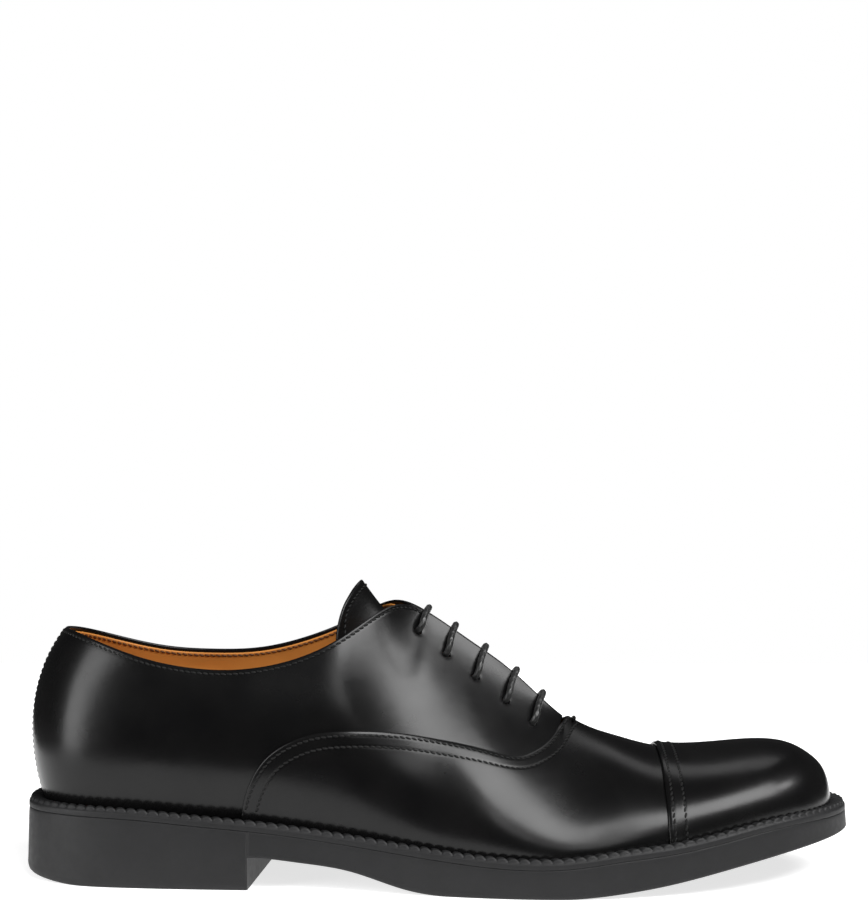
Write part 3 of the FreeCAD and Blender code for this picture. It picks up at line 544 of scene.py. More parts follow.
# ---- Materials ----
class Nodes:
    """A short way to build one node material."""

    def __init__(self, name):
        self.material = bpy.data.materials.new(name)
        self.material.use_nodes = True
        self.tree = self.material.node_tree
        self.shader = self.tree.nodes["Principled BSDF"]
        self.place = self.add("ShaderNodeTexCoord").outputs["Object"]

    def fill(self, node, inputs):
        """Set a node's inputs by name, to values or to sockets."""
        for key, value in inputs.items():
            if isinstance(value, bpy.types.NodeSocket):
                self.tree.links.new(value, node.inputs[key])
            else:
                node.inputs[key].default_value = value
        return node

    def add(self, kind, **inputs):
        """Add a node; an input's name has _ for each space."""
        return self.fill(self.tree.nodes.new(kind), {key.replace("_", " "): inputs[key] for key in inputs})

    def set(self, **values):
        """Set the shader's own inputs; a colour is three numbers."""
        names = {"colour": "Base Color", "rough": "Roughness", "specular": "Specular IOR Level",
                 "metal": "Metallic", "sheen": "Sheen Weight", "glow": "Emission Color"}
        self.fill(self.shader, {names[key]: (*value, 1.0) if isinstance(value, tuple) else value
                                for key, value in values.items()})

    def noise(self, scale, detail=3.0, rough=0.55, stretch=None):
        """Return a noise pattern's socket."""
        place = self.place
        if stretch is not None:
            place = self.add("ShaderNodeMapping", Vector=place, Scale=stretch).outputs["Vector"]
        node = self.add("ShaderNodeTexNoise", Vector=place, Scale=scale, Detail=detail, Roughness=rough)
        return node.outputs["Fac"]

    def cells(self, scale):
        """Return the socket of a pattern of small cells."""
        return self.add("ShaderNodeTexVoronoi", Vector=self.place, Scale=scale).outputs["Distance"]

    def bump(self, *layers):
        """Add bumps from (height, strength, distance in mm), one over another."""
        below = {}
        for height, strength, distance in layers:
            node = self.add("ShaderNodeBump", Height=height, Strength=strength, Distance=distance * MM)
            self.fill(node, below)
            below = {"Normal": node.outputs["Normal"]}
        self.fill(self.shader, below)

    def vary(self, source, target, low, high, start=0.3, end=0.7):
        """Drive a number socket between low and high."""
        node = self.add("ShaderNodeMapRange", Value=source, From_Min=start, From_Max=end,
                        To_Min=low, To_Max=high)
        self.fill(self.shader, {target: node.outputs["Result"]})

    def tint(self, source, first, second, start=0.3, end=0.7):
        """Drive the base colour between two colours."""
        node = self.add("ShaderNodeValToRGB", Fac=source)
        for element, place, colour in zip(node.color_ramp.elements, (start, end), (first, second)):
            element.position = place
            element.color = (*colour, 1.0)
        self.fill(self.shader, {"Base Color": node.outputs["Color"]})


def black_leather():
    """Polished black calf with a fine grain."""
    n = Nodes("black_leather")
    n.set(specular=0.28)
    n.tint(n.noise(60.0), (0.0028, 0.0028, 0.0030), (0.0045, 0.0044, 0.0044))
    n.vary(n.noise(35.0, 4.0), "Roughness", 0.20, 0.29)
    n.bump((n.cells(1500.0), 0.10, 0.05), (n.noise(2600.0, 2.0), 0.10, 0.03),
           (n.noise(90.0, 2.0), 0.25, 0.25))
    return n.material


def tan_lining():
    """Smooth tan lining leather."""
    n = Nodes("tan_lining")
    n.set(specular=0.30, rough=0.48)
    n.tint(n.noise(45.0, 4.0), (0.48, 0.177, 0.034), (0.58, 0.228, 0.047))
    n.bump((n.cells(1100.0), 0.12, 0.06), (n.noise(200.0), 0.15, 0.1))
    return n.material


def moulded_rubber(name, colour, rough):
    """Matte moulded rubber."""
    n = Nodes(name)
    n.set(specular=0.30)
    bright = tuple(1.25 * part for part in colour)
    n.tint(n.noise(120.0, 5.0), colour, bright)
    n.vary(n.noise(400.0), "Roughness", rough - 0.05, rough + 0.05)
    n.bump((n.noise(2200.0, 3.0, 0.7), 0.28, 0.07), (n.noise(700.0, 2.0), 0.12, 0.08))
    return n.material


def thread(name, colour):
    """Waxed sewing thread."""
    n = Nodes(name)
    n.set(colour=colour, rough=0.5, specular=0.25)
    n.bump((n.noise(5000.0, 2.0), 0.3, 0.04))
    return n.material


def waxed_cord():
    """Black waxed cotton of the laces."""
    n = Nodes("waxed_lace")
    n.set(specular=0.5, sheen=0.1)
    n.tint(n.noise(900.0), (0.004, 0.004, 0.004), (0.012, 0.012, 0.012))
    n.vary(n.noise(500.0), "Roughness", 0.32, 0.48)
    n.bump((n.noise(3500.0, 2.0, stretch=(1.0, 1.0, 0.4)), 0.4, 0.06))
    return n.material


def plain(name, dark, light, rough, scale=300.0, grain=0.1, metal=0.0):
    """A plain material with a little grain."""
    n = Nodes(name)
    n.set(rough=rough, metal=metal)
    n.tint(n.noise(scale, 4.0), dark, light)
    n.bump((n.noise(scale * 3.0, 3.0), 0.3, grain))
    return n.material


def paint(piece, material):
    """Give a piece one material."""
    piece.data.materials.clear()
    piece.data.materials.append(material)
    return piece


# ---- Camera ----
CAMERA_PLACE = (-1.75, -724.0, 155.0)
CAMERA_LENS = 77.1


def make_camera():
    """Stand the camera level in front of the shoe's outer side."""
    data = bpy.data.cameras.new("camera")
    data.lens = CAMERA_LENS
    data.sensor_width = 36.0
    data.clip_start = 0.05
    data.clip_end = 50.0
    camera = bpy.data.objects.new("camera", data)
    camera.location = Vector(CAMERA_PLACE) * MM
    camera.rotation_euler = (math.radians(90.0), 0.0, 0.0)
    bpy.context.scene.collection.objects.link(camera)
    bpy.context.scene.camera = camera


# ---- Free ends of the lace ----
SIDE_NAMES = ("lateral", "medial")
TAIL_START = 9.0           # straight on from the last inside run
TAILS = {
    "lateral": [(0.2, -25.1, 55.4), (-1.6, -29.8, 45), (-5, -32.8, 35), (-13, -32, 26.6),
                (-27, -28.6, 23.2), (-44, -25.9, 25.2), (-60, -24.2, 27.1), (-76, -23, 28.7)],
    "medial": [(-10.8, 19.2, 60.9), (-12.2, 22.4, 49.9), (-15.5, 23, 39), (-21.5, 22, 30.6),
               (-33, 18.6, 24.6), (-48, 18, 25.7), (-64, 18.8, 27.5), (-80, 20, 29.1)],
}


def lace_corner(side, index, distance, shift=0.0):
    """Return a corner of the lace at one eyelet."""
    station, height = EYELETS[index]
    return off_upper(side, station, height + shift, distance)


def lace_bar(first, second, index):
    """Return the corners of one bar over the facings, from one side to the other."""
    station, height = EYELETS[index]
    middle = 0.5 * (1.0 + height)
    near_ridge = 0.985
    ridge = top_points(LATERAL, np.array(station)) * (1.0, 0.0, 1.0)
    crown = unit(upper_normals(LATERAL, station, near_ridge) * (1.0, 0.0, 1.0))
    return [lace_corner(first, index, LACE_OUT), off_upper(first, station, middle, LACE_OUT + LACE_ARCH),
            ridge + crown * LACE_APEX,
            off_upper(second, station, middle, LACE_OUT + LACE_ARCH), lace_corner(second, index, LACE_OUT)]


def lace_route():
    """Return the corners of the laced part; a bar joins each inside run to the next."""
    runs = [(LATERAL, [(1, -LACE_DROP), (1, 0.0)]),
            (MEDIAL, [(1, 0.0), (2, -BYPASS), (3, 0.0)]),
            (LATERAL, [(3, 0.0), (4, 0.0)]),
            (MEDIAL, [(4, 0.0), (3, BYPASS), (2, 0.0)]),
            (LATERAL, [(2, 0.0), (1, BYPASS), (0, 0.0)]),
            (MEDIAL, [(0, 0.0), (0, -LACE_DROP)])]
    route = []
    for side, run in runs:
        route += [lace_corner(side, index, -LACE_IN, shift) for index, shift in run]
        if run is not runs[-1][1]:
            route += lace_bar(side, 1 - side, run[-1][0])
    return route


def make_tail(side, inner, exit_point, material):
    """Make one free end of the lace as a spline steered by the same points as the CAD tube."""
    points = [exit_point, exit_point + unit(exit_point - inner) * TAIL_START]
    points += [np.array(place) for place in TAILS[side]]
    tail = spline_object("lace_end_" + side, [point * MM for point in points], 16)
    tail.data.bevel_depth = LACE_RADIUS * MM
    tail.data.bevel_resolution = 5
    tail.data.use_fill_caps = True
    tail.data.materials.append(material)
    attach(tail, "rear")
    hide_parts("lace_tail_" + side)


# ---- Pieces of the upper ----
INWARD = (-1.0, 1.0)       # the way from an edge into its piece, on each side
VAMP_FACE = GAP + LEATHER
CAP_FACE = 2.0 * VAMP_FACE
TOPLINE_ROW = (0.003, 0.645)   # stations of the row's ends; the last is at the top eyelet
TOPLINE_INSET = 1.1
BACK_ROW = 0.007           # station of the row beside the back seam
EDGE_WIDTH = 0.55          # a skived edge sinks by EDGE_SINK over this width
EDGE_SINK = 0.28
DENT_WIDTH = 0.6
DENT_DEPTH = 0.12
HOLE_SIDES = 28
HOLE_REACH = (-6.0, 5.0)   # the cutter of a hole, from inside to outside


def row_at(side, pairs, inset, offset):
    """Return a stitch row (points, normals) at a distance inside an edge."""
    s, t = inset_pairs(side, pairs, inset, INWARD[side])
    return off_upper(side, s, t, offset), upper_normals(side, s, t)


def punch(piece, side):
    """Punch the five lace holes of one facing."""
    points = []
    faces = []
    ring = range(HOLE_SIDES)
    for station, height in EYELETS:
        centre = upper_points(side, station, height)
        normal = upper_normals(side, station, height)
        across = unit(np.cross(normal, (0.0, 1.0, 0.0)))
        other = np.cross(normal, across)
        start = len(points)
        for level in HOLE_REACH:
            for k in ring:
                turn = 2.0 * math.pi * k / HOLE_SIDES
                points.append(centre + normal * level
                              + EYELET_RADIUS * (across * math.cos(turn) + other * math.sin(turn)))
        top = start + HOLE_SIDES
        for k in ring:
            after = (k + 1) % HOLE_SIDES
            faces.append((start + k, start + after, top + after, top + k))
        faces.append(tuple(start + k for k in reversed(ring)))
        faces.append(tuple(top + k for k in ring))
    cutter = weld(new_object("cutter", points, faces))
    modifier = piece.modifiers.new("holes", "BOOLEAN")
    modifier.operation = "DIFFERENCE"
    modifier.solver = "EXACT"
    modifier.object = cutter
    bpy.context.view_layer.update()
    cut = bpy.data.meshes.new_from_object(piece.evaluated_get(bpy.context.evaluated_depsgraph_get()))
    piece.modifiers.clear()
    piece.data = cut
    bpy.data.objects.remove(cutter)
    return piece


def eyelet_dent(side, points):
    """Return how far the leather sinks round the punched holes."""
    sink = np.zeros(points.shape[:-1])
    for station, height in EYELETS:
        apart = np.linalg.norm(points - upper_points(side, station, height), axis=-1)
        sink += DENT_DEPTH * np.exp(-((apart - EYELET_RADIUS) / DENT_WIDTH) ** 2)
    return sink


def make_quarter(side):
    """A quarter with its stitched topline and facing."""
    topline = level_line(*TOPLINE_ROW, 1.0)(np.linspace(0.0, 1.0, 560))
    row, normals = row_at(side, topline, TOPLINE_INSET, 0.0)
    patches = []
    for lower, upper, count, rims in (
            (level_line(0.0, SIDE_SEAM, 0.0), level_line(0.0, SIDE_SEAM, 1.0), 150,
             {"u0": 0.45, "v0": 0.5, "v1": 1.0}),
            (pair_curve(QUARTER_UNDERLAP), level_line(SIDE_SEAM, QUARTER_END, 1.0), 210,
             {"u1": 0.5, "v0": 0.5, "v1": 1.0})):
        s, t = patch_grid(lower, upper, count, 100)
        base = upper_points(side, s, t)
        rise = ripple(base, 34.0, 0.16) * np.sin(math.pi * np.clip(t, 0.0, 1.0))
        rise -= groove(base, [row]) + eyelet_dent(side, base)
        patches.append((off_upper(side, s, t, rise), off_upper(side, s, t, -LEATHER), rims))
    piece = punch(sheet("quarter_%s_leather" % SIDE_NAMES[side], patches), side)
    heights = np.linspace(0.03, 0.975, 300)
    back_row = (upper_points(side, BACK_ROW, heights), upper_normals(side, BACK_ROW, heights))
    return piece, [(row, normals), back_row]


def front_piece(name, face, inner, seam, insets, row_parts, edge_parts, wave, columns, panels):
    """Make a piece of the front and the stitch rows beside its seam.

    face and inner are how far outside the upper's surface its outer and inner face lie.
    The rows run insets away from the seam, a line that is sampled at row_parts and
    edge_parts. wave is a ripple's size and amount. A panel is (lower line, upper line,
    steps along them, rims), with the same number of columns across each.
    """
    rows = [row_at(side, seam(row_parts), inset, face) for side in (LATERAL, MEDIAL) for inset in insets]
    patches = []
    for side in (LATERAL, MEDIAL):
        own = [points for points, _ in rows[2 * side:2 * side + 2]]
        edge = upper_points(side, *seam(edge_parts))
        for lower, upper, count, rims in panels:
            s, t = patch_grid(lower, upper, count, columns)
            base = upper_points(side, s, t)
            rise = face + ripple(base, *wave) * smooth_step(t, 0.0, 0.15)
            rise -= groove(off_upper(side, s, t, face), own) + groove(base, [edge], EDGE_WIDTH, EDGE_SINK)
            patches.append((off_upper(side, s, t, rise), off_upper(side, s, t, inner(t)), rims))
    return sheet(name, patches), rows


def make_vamp():
    """The vamp, with two rows of stitches beside its curved seam."""
    seam = pair_curve(VAMP_SEAM)
    panels = [(level_line(VAMP_SEAM[0][0], THROAT, 0.0), seam, 230, {"u0": 0.8, "v0": 0.5, "v1": 0.9}),
              (level_line(THROAT, VAMP_END, 0.0), level_line(THROAT, VAMP_END, 1.0), 70,
               {"u1": 0.5, "v0": 0.5})]
    return front_piece("vamp_leather", VAMP_FACE, lambda t: GAP - 0.12 * smooth_step(t, 0.0, 0.1), seam,
                       (1.2, 5.1), np.linspace(0.02, 0.999, 500), np.linspace(0.0, 1.0, 600),
                       (30.0, 0.15), 90, panels)


def make_toe_cap():
    """The toe cap, with two rows of stitches beside its straight seam."""
    heights = np.linspace(0.03, 1.0, 260)
    panels = [(level_line(CAP_SEAM, TOE_END, 0.012), level_line(CAP_SEAM, TOE_END, 1.0), 190,
               {"u0": 0.9, "u1": 0.5, "v0": 0.5})]
    return front_piece("toe_cap_leather", CAP_FACE, lambda t: CAP_FACE - LEATHER - 0.1,
                       lambda part: (CAP_SEAM + 0.0 * part, part), (1.5, 5.6), heights, heights,
                       (26.0, 0.14), 100, panels)


def lining_depth(s, t):
    """Return the depth of a quarter lining's outer face, inside the counter and the tape.

    It changes between the two stations or heights of each pair.
    """
    heel = (1.0 - smooth_step(s, 0.27, 0.36)) * (1.0 - smooth_step(t, 0.74, 0.90))
    facing = smooth_step(s, 0.56, 0.60) * smooth_step(t, 0.62, 0.74)
    return LEATHER + GAP + (COUNTER + GAP) * heel + (REINFORCEMENT + GAP) * facing


def make_quarter_lining(side):
    """The tan lining of one quarter, cut back a little under the folded topline."""
    first = 0.002

    def upper_edge(part):
        station = first + (QUARTER_END - first) * part
        return station, LINING_EDGE - (LINING_EDGE - FACING_EDGE) * smooth_step(station, 0.595, 0.645)

    row_s, row_t = inset_pairs(side, upper_edge(np.linspace(0.01, 0.72, 500)), 0.6, INWARD[side])
    row = off_upper(side, row_s, row_t, -lining_depth(row_s, row_t) - LINING)
    s, t = patch_grid(level_line(first, QUARTER_END, 0.0), upper_edge, 260, 70)
    depth = lining_depth(s, t)
    rise = np.minimum(ripple(upper_points(side, s, t), 20.0, 0.15), 0.0)
    inner = off_upper(side, s, t, rise - depth - LINING)
    inner += upper_normals(side, s, t) * groove(inner, [row], 0.5, 0.15)[..., None]
    piece = sheet("quarter_lining_%s_leather" % SIDE_NAMES[side],
                  [(off_upper(side, s, t, -depth), inner, {"u0": 0.5, "u1": 0.5, "v0": 0.5, "v1": 0.8})])
    return punch(piece, side), (row, -upper_normals(side, row_s, row_t))


def toe_panel(name, first, last, low, outside, thick, count):
    """A hidden layer that runs over the forefoot from feather to feather."""
    patches = []
    for side in (LATERAL, MEDIAL):
        s, t = patch_grid(level_line(first, last, low), level_line(first, last, 1.0), count, 50)
        patches.append((off_upper(side, s, t, outside(s)), off_upper(side, s, t, outside(s) - thick),
                        {"u0": 0.5, "u1": 0.5, "v0": 0.5}))
    return sheet(name, patches)


# ---- Tongue ----
# Place along it, x and z of its middle, half its width and how far its sides drop.
TONGUE = [
    (0.0, 49, 43, 12, 8.5),
    (0.2, 33, 56.6, 14.5, 14.5),
    (0.4, 16.9, 69.2, 16.5, 20),
    (0.6, 0.2, 80.6, 17, 22.5),
    (0.8, -15.5, 91.8, 19, 22.5),
    (1.0, -28.3, 107.6, 21.5, 13),
]
TONGUE_LEATHER = 1.1
TONGUE_LINING = 0.8
TONGUE_SHORTER = 0.055     # the sides stop this share of the length short
TONGUE_CORNER = 0.05       # and the corners this much more
TONGUE_PLACES, *TONGUE_VALUES = zip(*TONGUE)
TONGUE_X, TONGUE_Z, TONGUE_WIDTH, TONGUE_DROP = [natural_spline(TONGUE_PLACES, values)
                                                 for values in TONGUE_VALUES]
TONGUE_STEP = 0.01         # for its slopes


def tongue_points(length, across):
    """Return points of the tongue's outer face; across runs from -1 to 1."""
    place = length * (1.0 - TONGUE_SHORTER * across ** 2 - TONGUE_CORNER * across ** 6)
    low = np.maximum(place - TONGUE_STEP, 0.0)
    high = np.minimum(place + TONGUE_STEP, 1.0)
    zero = 0.0 * place
    along = unit(np.stack([TONGUE_X(high) - TONGUE_X(low), zero, TONGUE_Z(high) - TONGUE_Z(low)], -1))
    normal = np.stack([along[..., 2], zero, -along[..., 0]], -1)
    roof = 0.25
    fall = (np.hypot(across, roof) - roof) / (math.hypot(1.0, roof) - roof)
    point = np.stack([TONGUE_X(place), across * TONGUE_WIDTH(place), TONGUE_Z(place)], -1)
    return point - normal * (TONGUE_DROP(place) * fall)[..., None]


def tongue_normals(length, across):
    """Return unit vectors out of the tongue's outer face."""
    along = tongue_points(np.minimum(length + TONGUE_STEP, 1.0), across)
    along -= tongue_points(np.maximum(length - TONGUE_STEP, 0.0), across)
    over = tongue_points(length, np.minimum(across + TONGUE_STEP, 1.0))
    over -= tongue_points(length, np.maximum(across - TONGUE_STEP, -1.0))
    return unit(np.cross(over, along))


def tongue_row():
    """Return the stitch row (points, normals) up one side, round the top and down the other."""
    top = 0.98
    side = -0.90
    corner = 0.06
    angles = np.linspace(0.0, 0.5 * math.pi, 20)
    up = np.linspace(0.4, top - corner, 120)
    length = np.concatenate([up, top - corner + corner * np.sin(angles)])
    across = np.concatenate([side + 0.0 * up, side + 0.22 * (1.0 - np.cos(angles))])
    over = np.linspace(across[-1], -across[-1], 120)
    length = np.concatenate([length, top + 0.0 * over, length[::-1]])
    across = np.concatenate([across, over, -across[::-1]])
    return tongue_points(length, across), tongue_normals(length, across)


def tongue_grid(top, wide):
    """Return points and normals of the tongue's outer face up to top and out to wide."""
    length, across = np.meshgrid(np.linspace(0.0, top, 120), np.linspace(-wide, wide, 90), indexing="ij")
    return tongue_points(length, across), tongue_normals(length, across)


def make_tongue():
    """The tongue's leather and lining, with a stitch row round its top."""
    row = tongue_row()
    rims = {"u0": 0.5, "u1": 1.0, "v0": 1.0, "v1": 1.0}
    base, normal = tongue_grid(1.0, 1.0)
    sink = groove(base, [row[0]], 0.55, 0.15) - ripple(base, 22.0, 0.12)
    outer = base - normal * sink[..., None]
    leather = sheet("tongue_leather", [(outer, base - normal * TONGUE_LEATHER, rims)])
    base, normal = tongue_grid(0.985, 0.92)
    first = TONGUE_LEATHER + 0.1
    last = first + TONGUE_LINING
    lining = sheet("tongue_lining_leather", [(base - normal * first, base - normal * last, rims)])
    return leather, lining, row


# ---- Bottom ----
SOLE_OUTLINE = [
    (-151.9, 0), (-147, -17.5), (-132, -28.5), (-109, -33.5), (-69, -36.8),
    (-43, -38.5), (-10, -44), (20, -50), (45, -51.8), (73, -49.3),
    (101, -43.5), (125, -32.5), (143, -17), (152, 4), (145.5, 22),
    (130, 34), (108, 44), (83, 50.5), (52, 51.5), (20, 44),
    (-10, 32.5), (-43, 30), (-80, 32), (-109, 33), (-132, 28),
    (-147, 17)]
# HEEL_BEVEL, ARCH and TOE_SPRING are (x, z) points of the sole's bottom.
HEEL_BREAST_X = -68.0
HEEL_BEVEL = [(-160, 4.1), (-152, 2.6), (-140, 0.8), (-128, 0)]
BREAST_SLANT = 5.5         # the heel's front face is this much further forward on the medial side
SLANT_REACH = 26.0
ARCH = [(-67.2, 11.5), (-50, 10), (-31, 7.2), (-12, 1.7), (4, 0)]
TOE_SPRING = [(42, 0), (60, 1.2), (80, 4.1), (101, 8.4), (128, 13.2), (160, 17)]
WELT_THICK = 2.2
BOARD_THICK = 2.2
SOCK_THICK = 1.0
WELT_RING_INSET = 9.0
BOARD_INSET = 4.3
SOCK_INSET = 5.2
WELT_X = [-165.0] + [row[1][0] for row in STATIONS[:-2]] + [165.0]
WELT_Z = [28.2] + [row[1][2] for row in STATIONS[:-2]] + [25.4]
WELT_TOP = natural_spline(WELT_X, WELT_Z)
ARCH_HEIGHT = natural_spline(*zip(*ARCH), True, True)
HEEL_HEIGHT = natural_spline(*zip(*HEEL_BEVEL), False, True)
SPRING_HEIGHT = natural_spline(*zip(*TOE_SPRING), True, False)


def welt_flat(x):
    """Return the height of the welt's flat top."""
    return WELT_TOP(x) - LIFT


def ground_height(x):
    """Return the height of the sole's bottom in front of the heel."""
    return np.where(x < ARCH[-1][0], ARCH_HEIGHT(x), SPRING_HEIGHT(x))


def closed_line(points, count):
    """Return points and outward normals on the smooth closed curve through points, and its length."""
    points = np.array(points)
    ahead = 6                  # points added at both ends, so that the curve closes smoothly
    wrapped = np.concatenate([points[-ahead:], points, points[:ahead + 1]])
    along = distances(wrapped)
    curves = [natural_spline(along, wrapped[:, axis]) for axis in (0, 1)]
    dense = np.linspace(along[ahead], along[ahead + len(points)], 6000)
    line = np.stack([curve(dense) for curve in curves], 1)
    travelled = distances(line)
    line = line_at(line, travelled, np.linspace(0.0, travelled[-1], count, endpoint=False))
    direction = unit(np.roll(line, -1, 0) - np.roll(line, 1, 0))
    outward = np.stack([direction[:, 1], -direction[:, 0]], 1)
    area = np.sum(line[:, 0] * np.roll(line[:, 1], -1) - np.roll(line[:, 0], -1) * line[:, 1])
    return line, outward * np.sign(area), travelled[-1]


def inset_outline(inset):
    """Return the feather line moved inwards in plan."""
    places = np.array([0.0, 0.05, 0.1, 0.16, 0.24, 0.34, 0.46, 0.58, 0.70, 0.82, 0.94, 1.03,
                       1.09, 1.13, 1.16, 1.185])
    step = 0.002
    points = []
    for side, stations in ((LATERAL, places), (MEDIAL, places[:0:-1])):
        along = upper_points(side, np.minimum(stations + step, TIP), 0.0)
        along -= upper_points(side, np.maximum(stations - step, 0.0), 0.0)
        normal = unit(np.stack([-along[:, 1], along[:, 0]], 1)) * (1.0 if side == LATERAL else -1.0)
        normal[stations == 0.0] = (1.0, 0.0)
        points += (upper_points(side, stations, 0.0)[:, :2] + normal * inset).tolist()
    return points


def paired_stations(outline, count, breast=None):
    """Return x from heel to toe, and for each side the x, y and normal of the outline there.

    A breast doubles the station at the heel's front face, which slants on the medial side.
    """
    line, outward, _ = closed_line(outline, 5000)
    both = np.concatenate([line, outward], 1)
    both = np.roll(both, -int(np.argmin(both[:, 0])), 0)
    front = int(np.argmax(both[:, 0]))
    halves = [both[:front + 1], np.concatenate([both[front:], both[:1]])[::-1]]
    if halves[0][:, 1].mean() > halves[1][:, 1].mean():
        halves.reverse()
    low, high = both[0, 0], both[front, 0]
    x = 0.5 * (low + high) - 0.5 * (high - low) * np.cos(np.linspace(0.0, math.pi, count))
    slant = 0.0
    if breast is not None:
        x = np.sort(np.concatenate([x[np.abs(x - breast) > 0.4], [breast - 0.001, breast + 0.001]]))
        slant = BREAST_SLANT * np.exp(-((x - breast) / SLANT_REACH) ** 2)
    return x, [line_at(half, half[:, 0], own_x).T for half, own_x in zip(halves, (x, x + slant))]


def slab(name, outline, top, bottom, walls, count=300, across=48, breast=None, relief=None):
    """Make a closed slab: walls are (share of the height, outward offset) from top to bottom."""
    x, sides = paired_stations(outline, count, breast)
    rings = []
    for share, offset in walls:
        ring = []
        for px, py, nx, ny in sides:
            upper = top(x, px)
            lower = bottom(x, px)
            ring.append(np.stack([px + nx * offset, py + ny * offset, upper + (lower - upper) * share], 1))
        rings.append(ring)
    part = np.linspace(0.0, 1.0, across + 1)[None, :, None]
    upper, lower = [ring[0][:, None] * (1.0 - part) + ring[1][:, None] * part
                    for ring in (rings[0], rings[-1])]
    if relief is not None:
        lower[..., 2] += relief(lower[..., 0], lower[..., 1]) * np.sin(math.pi * part[..., 0]) ** 0.2
    lateral, medial = [np.stack([ring[side] for ring in rings], 1) for side in (LATERAL, MEDIAL)]
    return shell(name, [(upper, False), (lower, True), (lateral, False), (medial, True)])


def between(x, first, last, edge):
    """Return 1 from first to last and 0 beyond, with edges of a given width."""
    return smooth_step(x, first, first + edge) * (1.0 - smooth_step(x, last, last + edge))


def tread(x, y):
    """Return the relief of the sole's bottom: shallow cross grooves in front and at the heel."""
    pitch = 6.0
    depth = 1.1
    skew = 0.25
    wave = np.abs((((x + skew * np.abs(y)) / pitch) % 1.0) - 0.5) * pitch
    cut = 1.0 - smooth_step(wave, 0.5, 0.9)
    zones = between(x, 12.0, 122.0, 2.0) + between(x, -140.0, -78.0, 2.0)
    width = np.where(x < -30.0, 25.0, 36.0)
    return depth * cut * zones * (1.0 - smooth_step(np.abs(y), width, width + 1.5))


def make_outsole():
    """The moulded sole and heel."""
    def bottom(x, own_x):
        return np.where(x < HEEL_BREAST_X, np.maximum(HEEL_HEIGHT(x), 0.0), ground_height(own_x))

    def top(x, own_x):
        return welt_flat(own_x) - WELT_THICK

    flare = 0.45               # the wall leans out by this much towards the ground
    walls = [(0.0, -9.5), (0.0, -0.35), (0.02, -0.12), (0.05, -0.05)]
    walls += [(share, flare * share) for share in np.linspace(0.12, 0.85, 9)]
    walls += [(0.90, flare), (0.945, 0.36), (0.98, 0.12), (0.995, -0.18), (1.0, -0.55)]
    return slab("outsole_rubber", SOLE_OUTLINE, top, bottom, walls, 560, 90, HEEL_BREAST_X, tread)


def make_welt():
    """The storm welt: a ring with a rope-like row of half-round ribs."""
    pitch = 3.9
    per_rib = 12
    rib_height = 1.55
    valley = 0.12              # share of the rib's height that is left between two ribs
    waist = 0.35               # the ring is narrower by this much between two ribs
    slant = 0.10               # part of a rib's pitch that it leans by in a millimetre
    _, _, length = closed_line(SOLE_OUTLINE, 100)
    count = int(round(length / pitch)) * per_rib
    line, outward, _ = closed_line(SOLE_OUTLINE, count)
    # The ring's section, from its bottom outwards, over the rib and back in.
    inset = np.array([WELT_RING_INSET, 0.35, 0.06, 0.0, 0.0, 0.0, 0.05, 0.22, 0.45, 0.62, 0.75, 0.95,
                      1.3, 1.8, 2.5, 3.3, 4.1, 5.0, 6.0, WELT_RING_INSET])
    height = np.array([-WELT_THICK, -WELT_THICK, -2.12, -1.95, -1.5, -0.9, -0.45, -0.15, -0.02] + [0.0] * 11)
    swell = np.array([0.0] * 8 + [0.05, 0.35, 0.68, 0.92, 1.0, 1.0, 0.98, 0.92, 0.80, 0.55, 0.2, 0.0])
    share = (np.arange(count)[:, None] / per_rib + slant * inset) % 1.0
    round_top = np.sqrt(np.clip(1.0 - np.abs(2.0 * share - 1.0) ** 2.2, 0.0, 1.0))
    rib = rib_height * swell * (valley + (1.0 - valley) * round_top)
    push = waist * swell * (1.0 - round_top)
    at = line[:, None] - outward[:, None] * (inset + push)[..., None]
    z = welt_flat(at[..., 0]) + height + rib
    grid = np.concatenate([at, z[..., None]], -1)
    grid = np.concatenate([grid, grid[:, :1]], 1)
    faces = grid_quads(*grid.shape[:2], closed=True)
    return weld(new_object("storm_welt_rubber", grid.reshape(-1, 3), faces))


# ---- Setting ----
def make_floor():
    """A plain pale table top; its glow grows from 180 to 500 mm from the middle."""
    left, right, near, far = -330.0, 420.0, -118.0, 700.0
    corners = [(left, near, 0.0), (right, near, 0.0), (right, far, 0.0), (left, far, 0.0)]
    floor = new_object("floor", corners, [(0, 1, 2, 3)], smooth=False)
    n = Nodes("floor")
    n.set(colour=(0.72, 0.72, 0.72), rough=0.9, specular=0.0, glow=(1.0, 1.0, 1.0))
    away = n.add("ShaderNodeVectorMath", Vector=n.place)
    away.operation = "LENGTH"
    n.vary(away.outputs["Value"], "Emission Strength", 0.73, 1.0, 0.18, 0.5)
    paint(floor, n.material)


def direction(azimuth, elevation):
    """Return a direction in degrees: 0 is towards the camera and 90 towards the toe."""
    turn = math.radians(azimuth)
    rise = math.radians(elevation)
    return (math.sin(turn) * math.cos(rise), -math.cos(turn) * math.cos(rise), math.sin(rise))


# Name, azimuth, elevation, distance, width, height, radiance and turn about its own axis.
SOFTBOXES = [
    ("overhead", 43, 48, 1500, 1300, 660, 11, -5),
    ("toe_side", 83, 37, 1500, 320, 240, 11, 0),
    ("low_fill", 9, 27, 1500, 330, 420, 3.5, 0),
    ("heel_side", -58, 14, 1400, 480, 1450, 6.6, -12),
    ("behind", 160, 58, 1500, 900, 350, 1.4, 0),
]
ROOM_LIGHT = 0.03
BACKDROP = 1.0


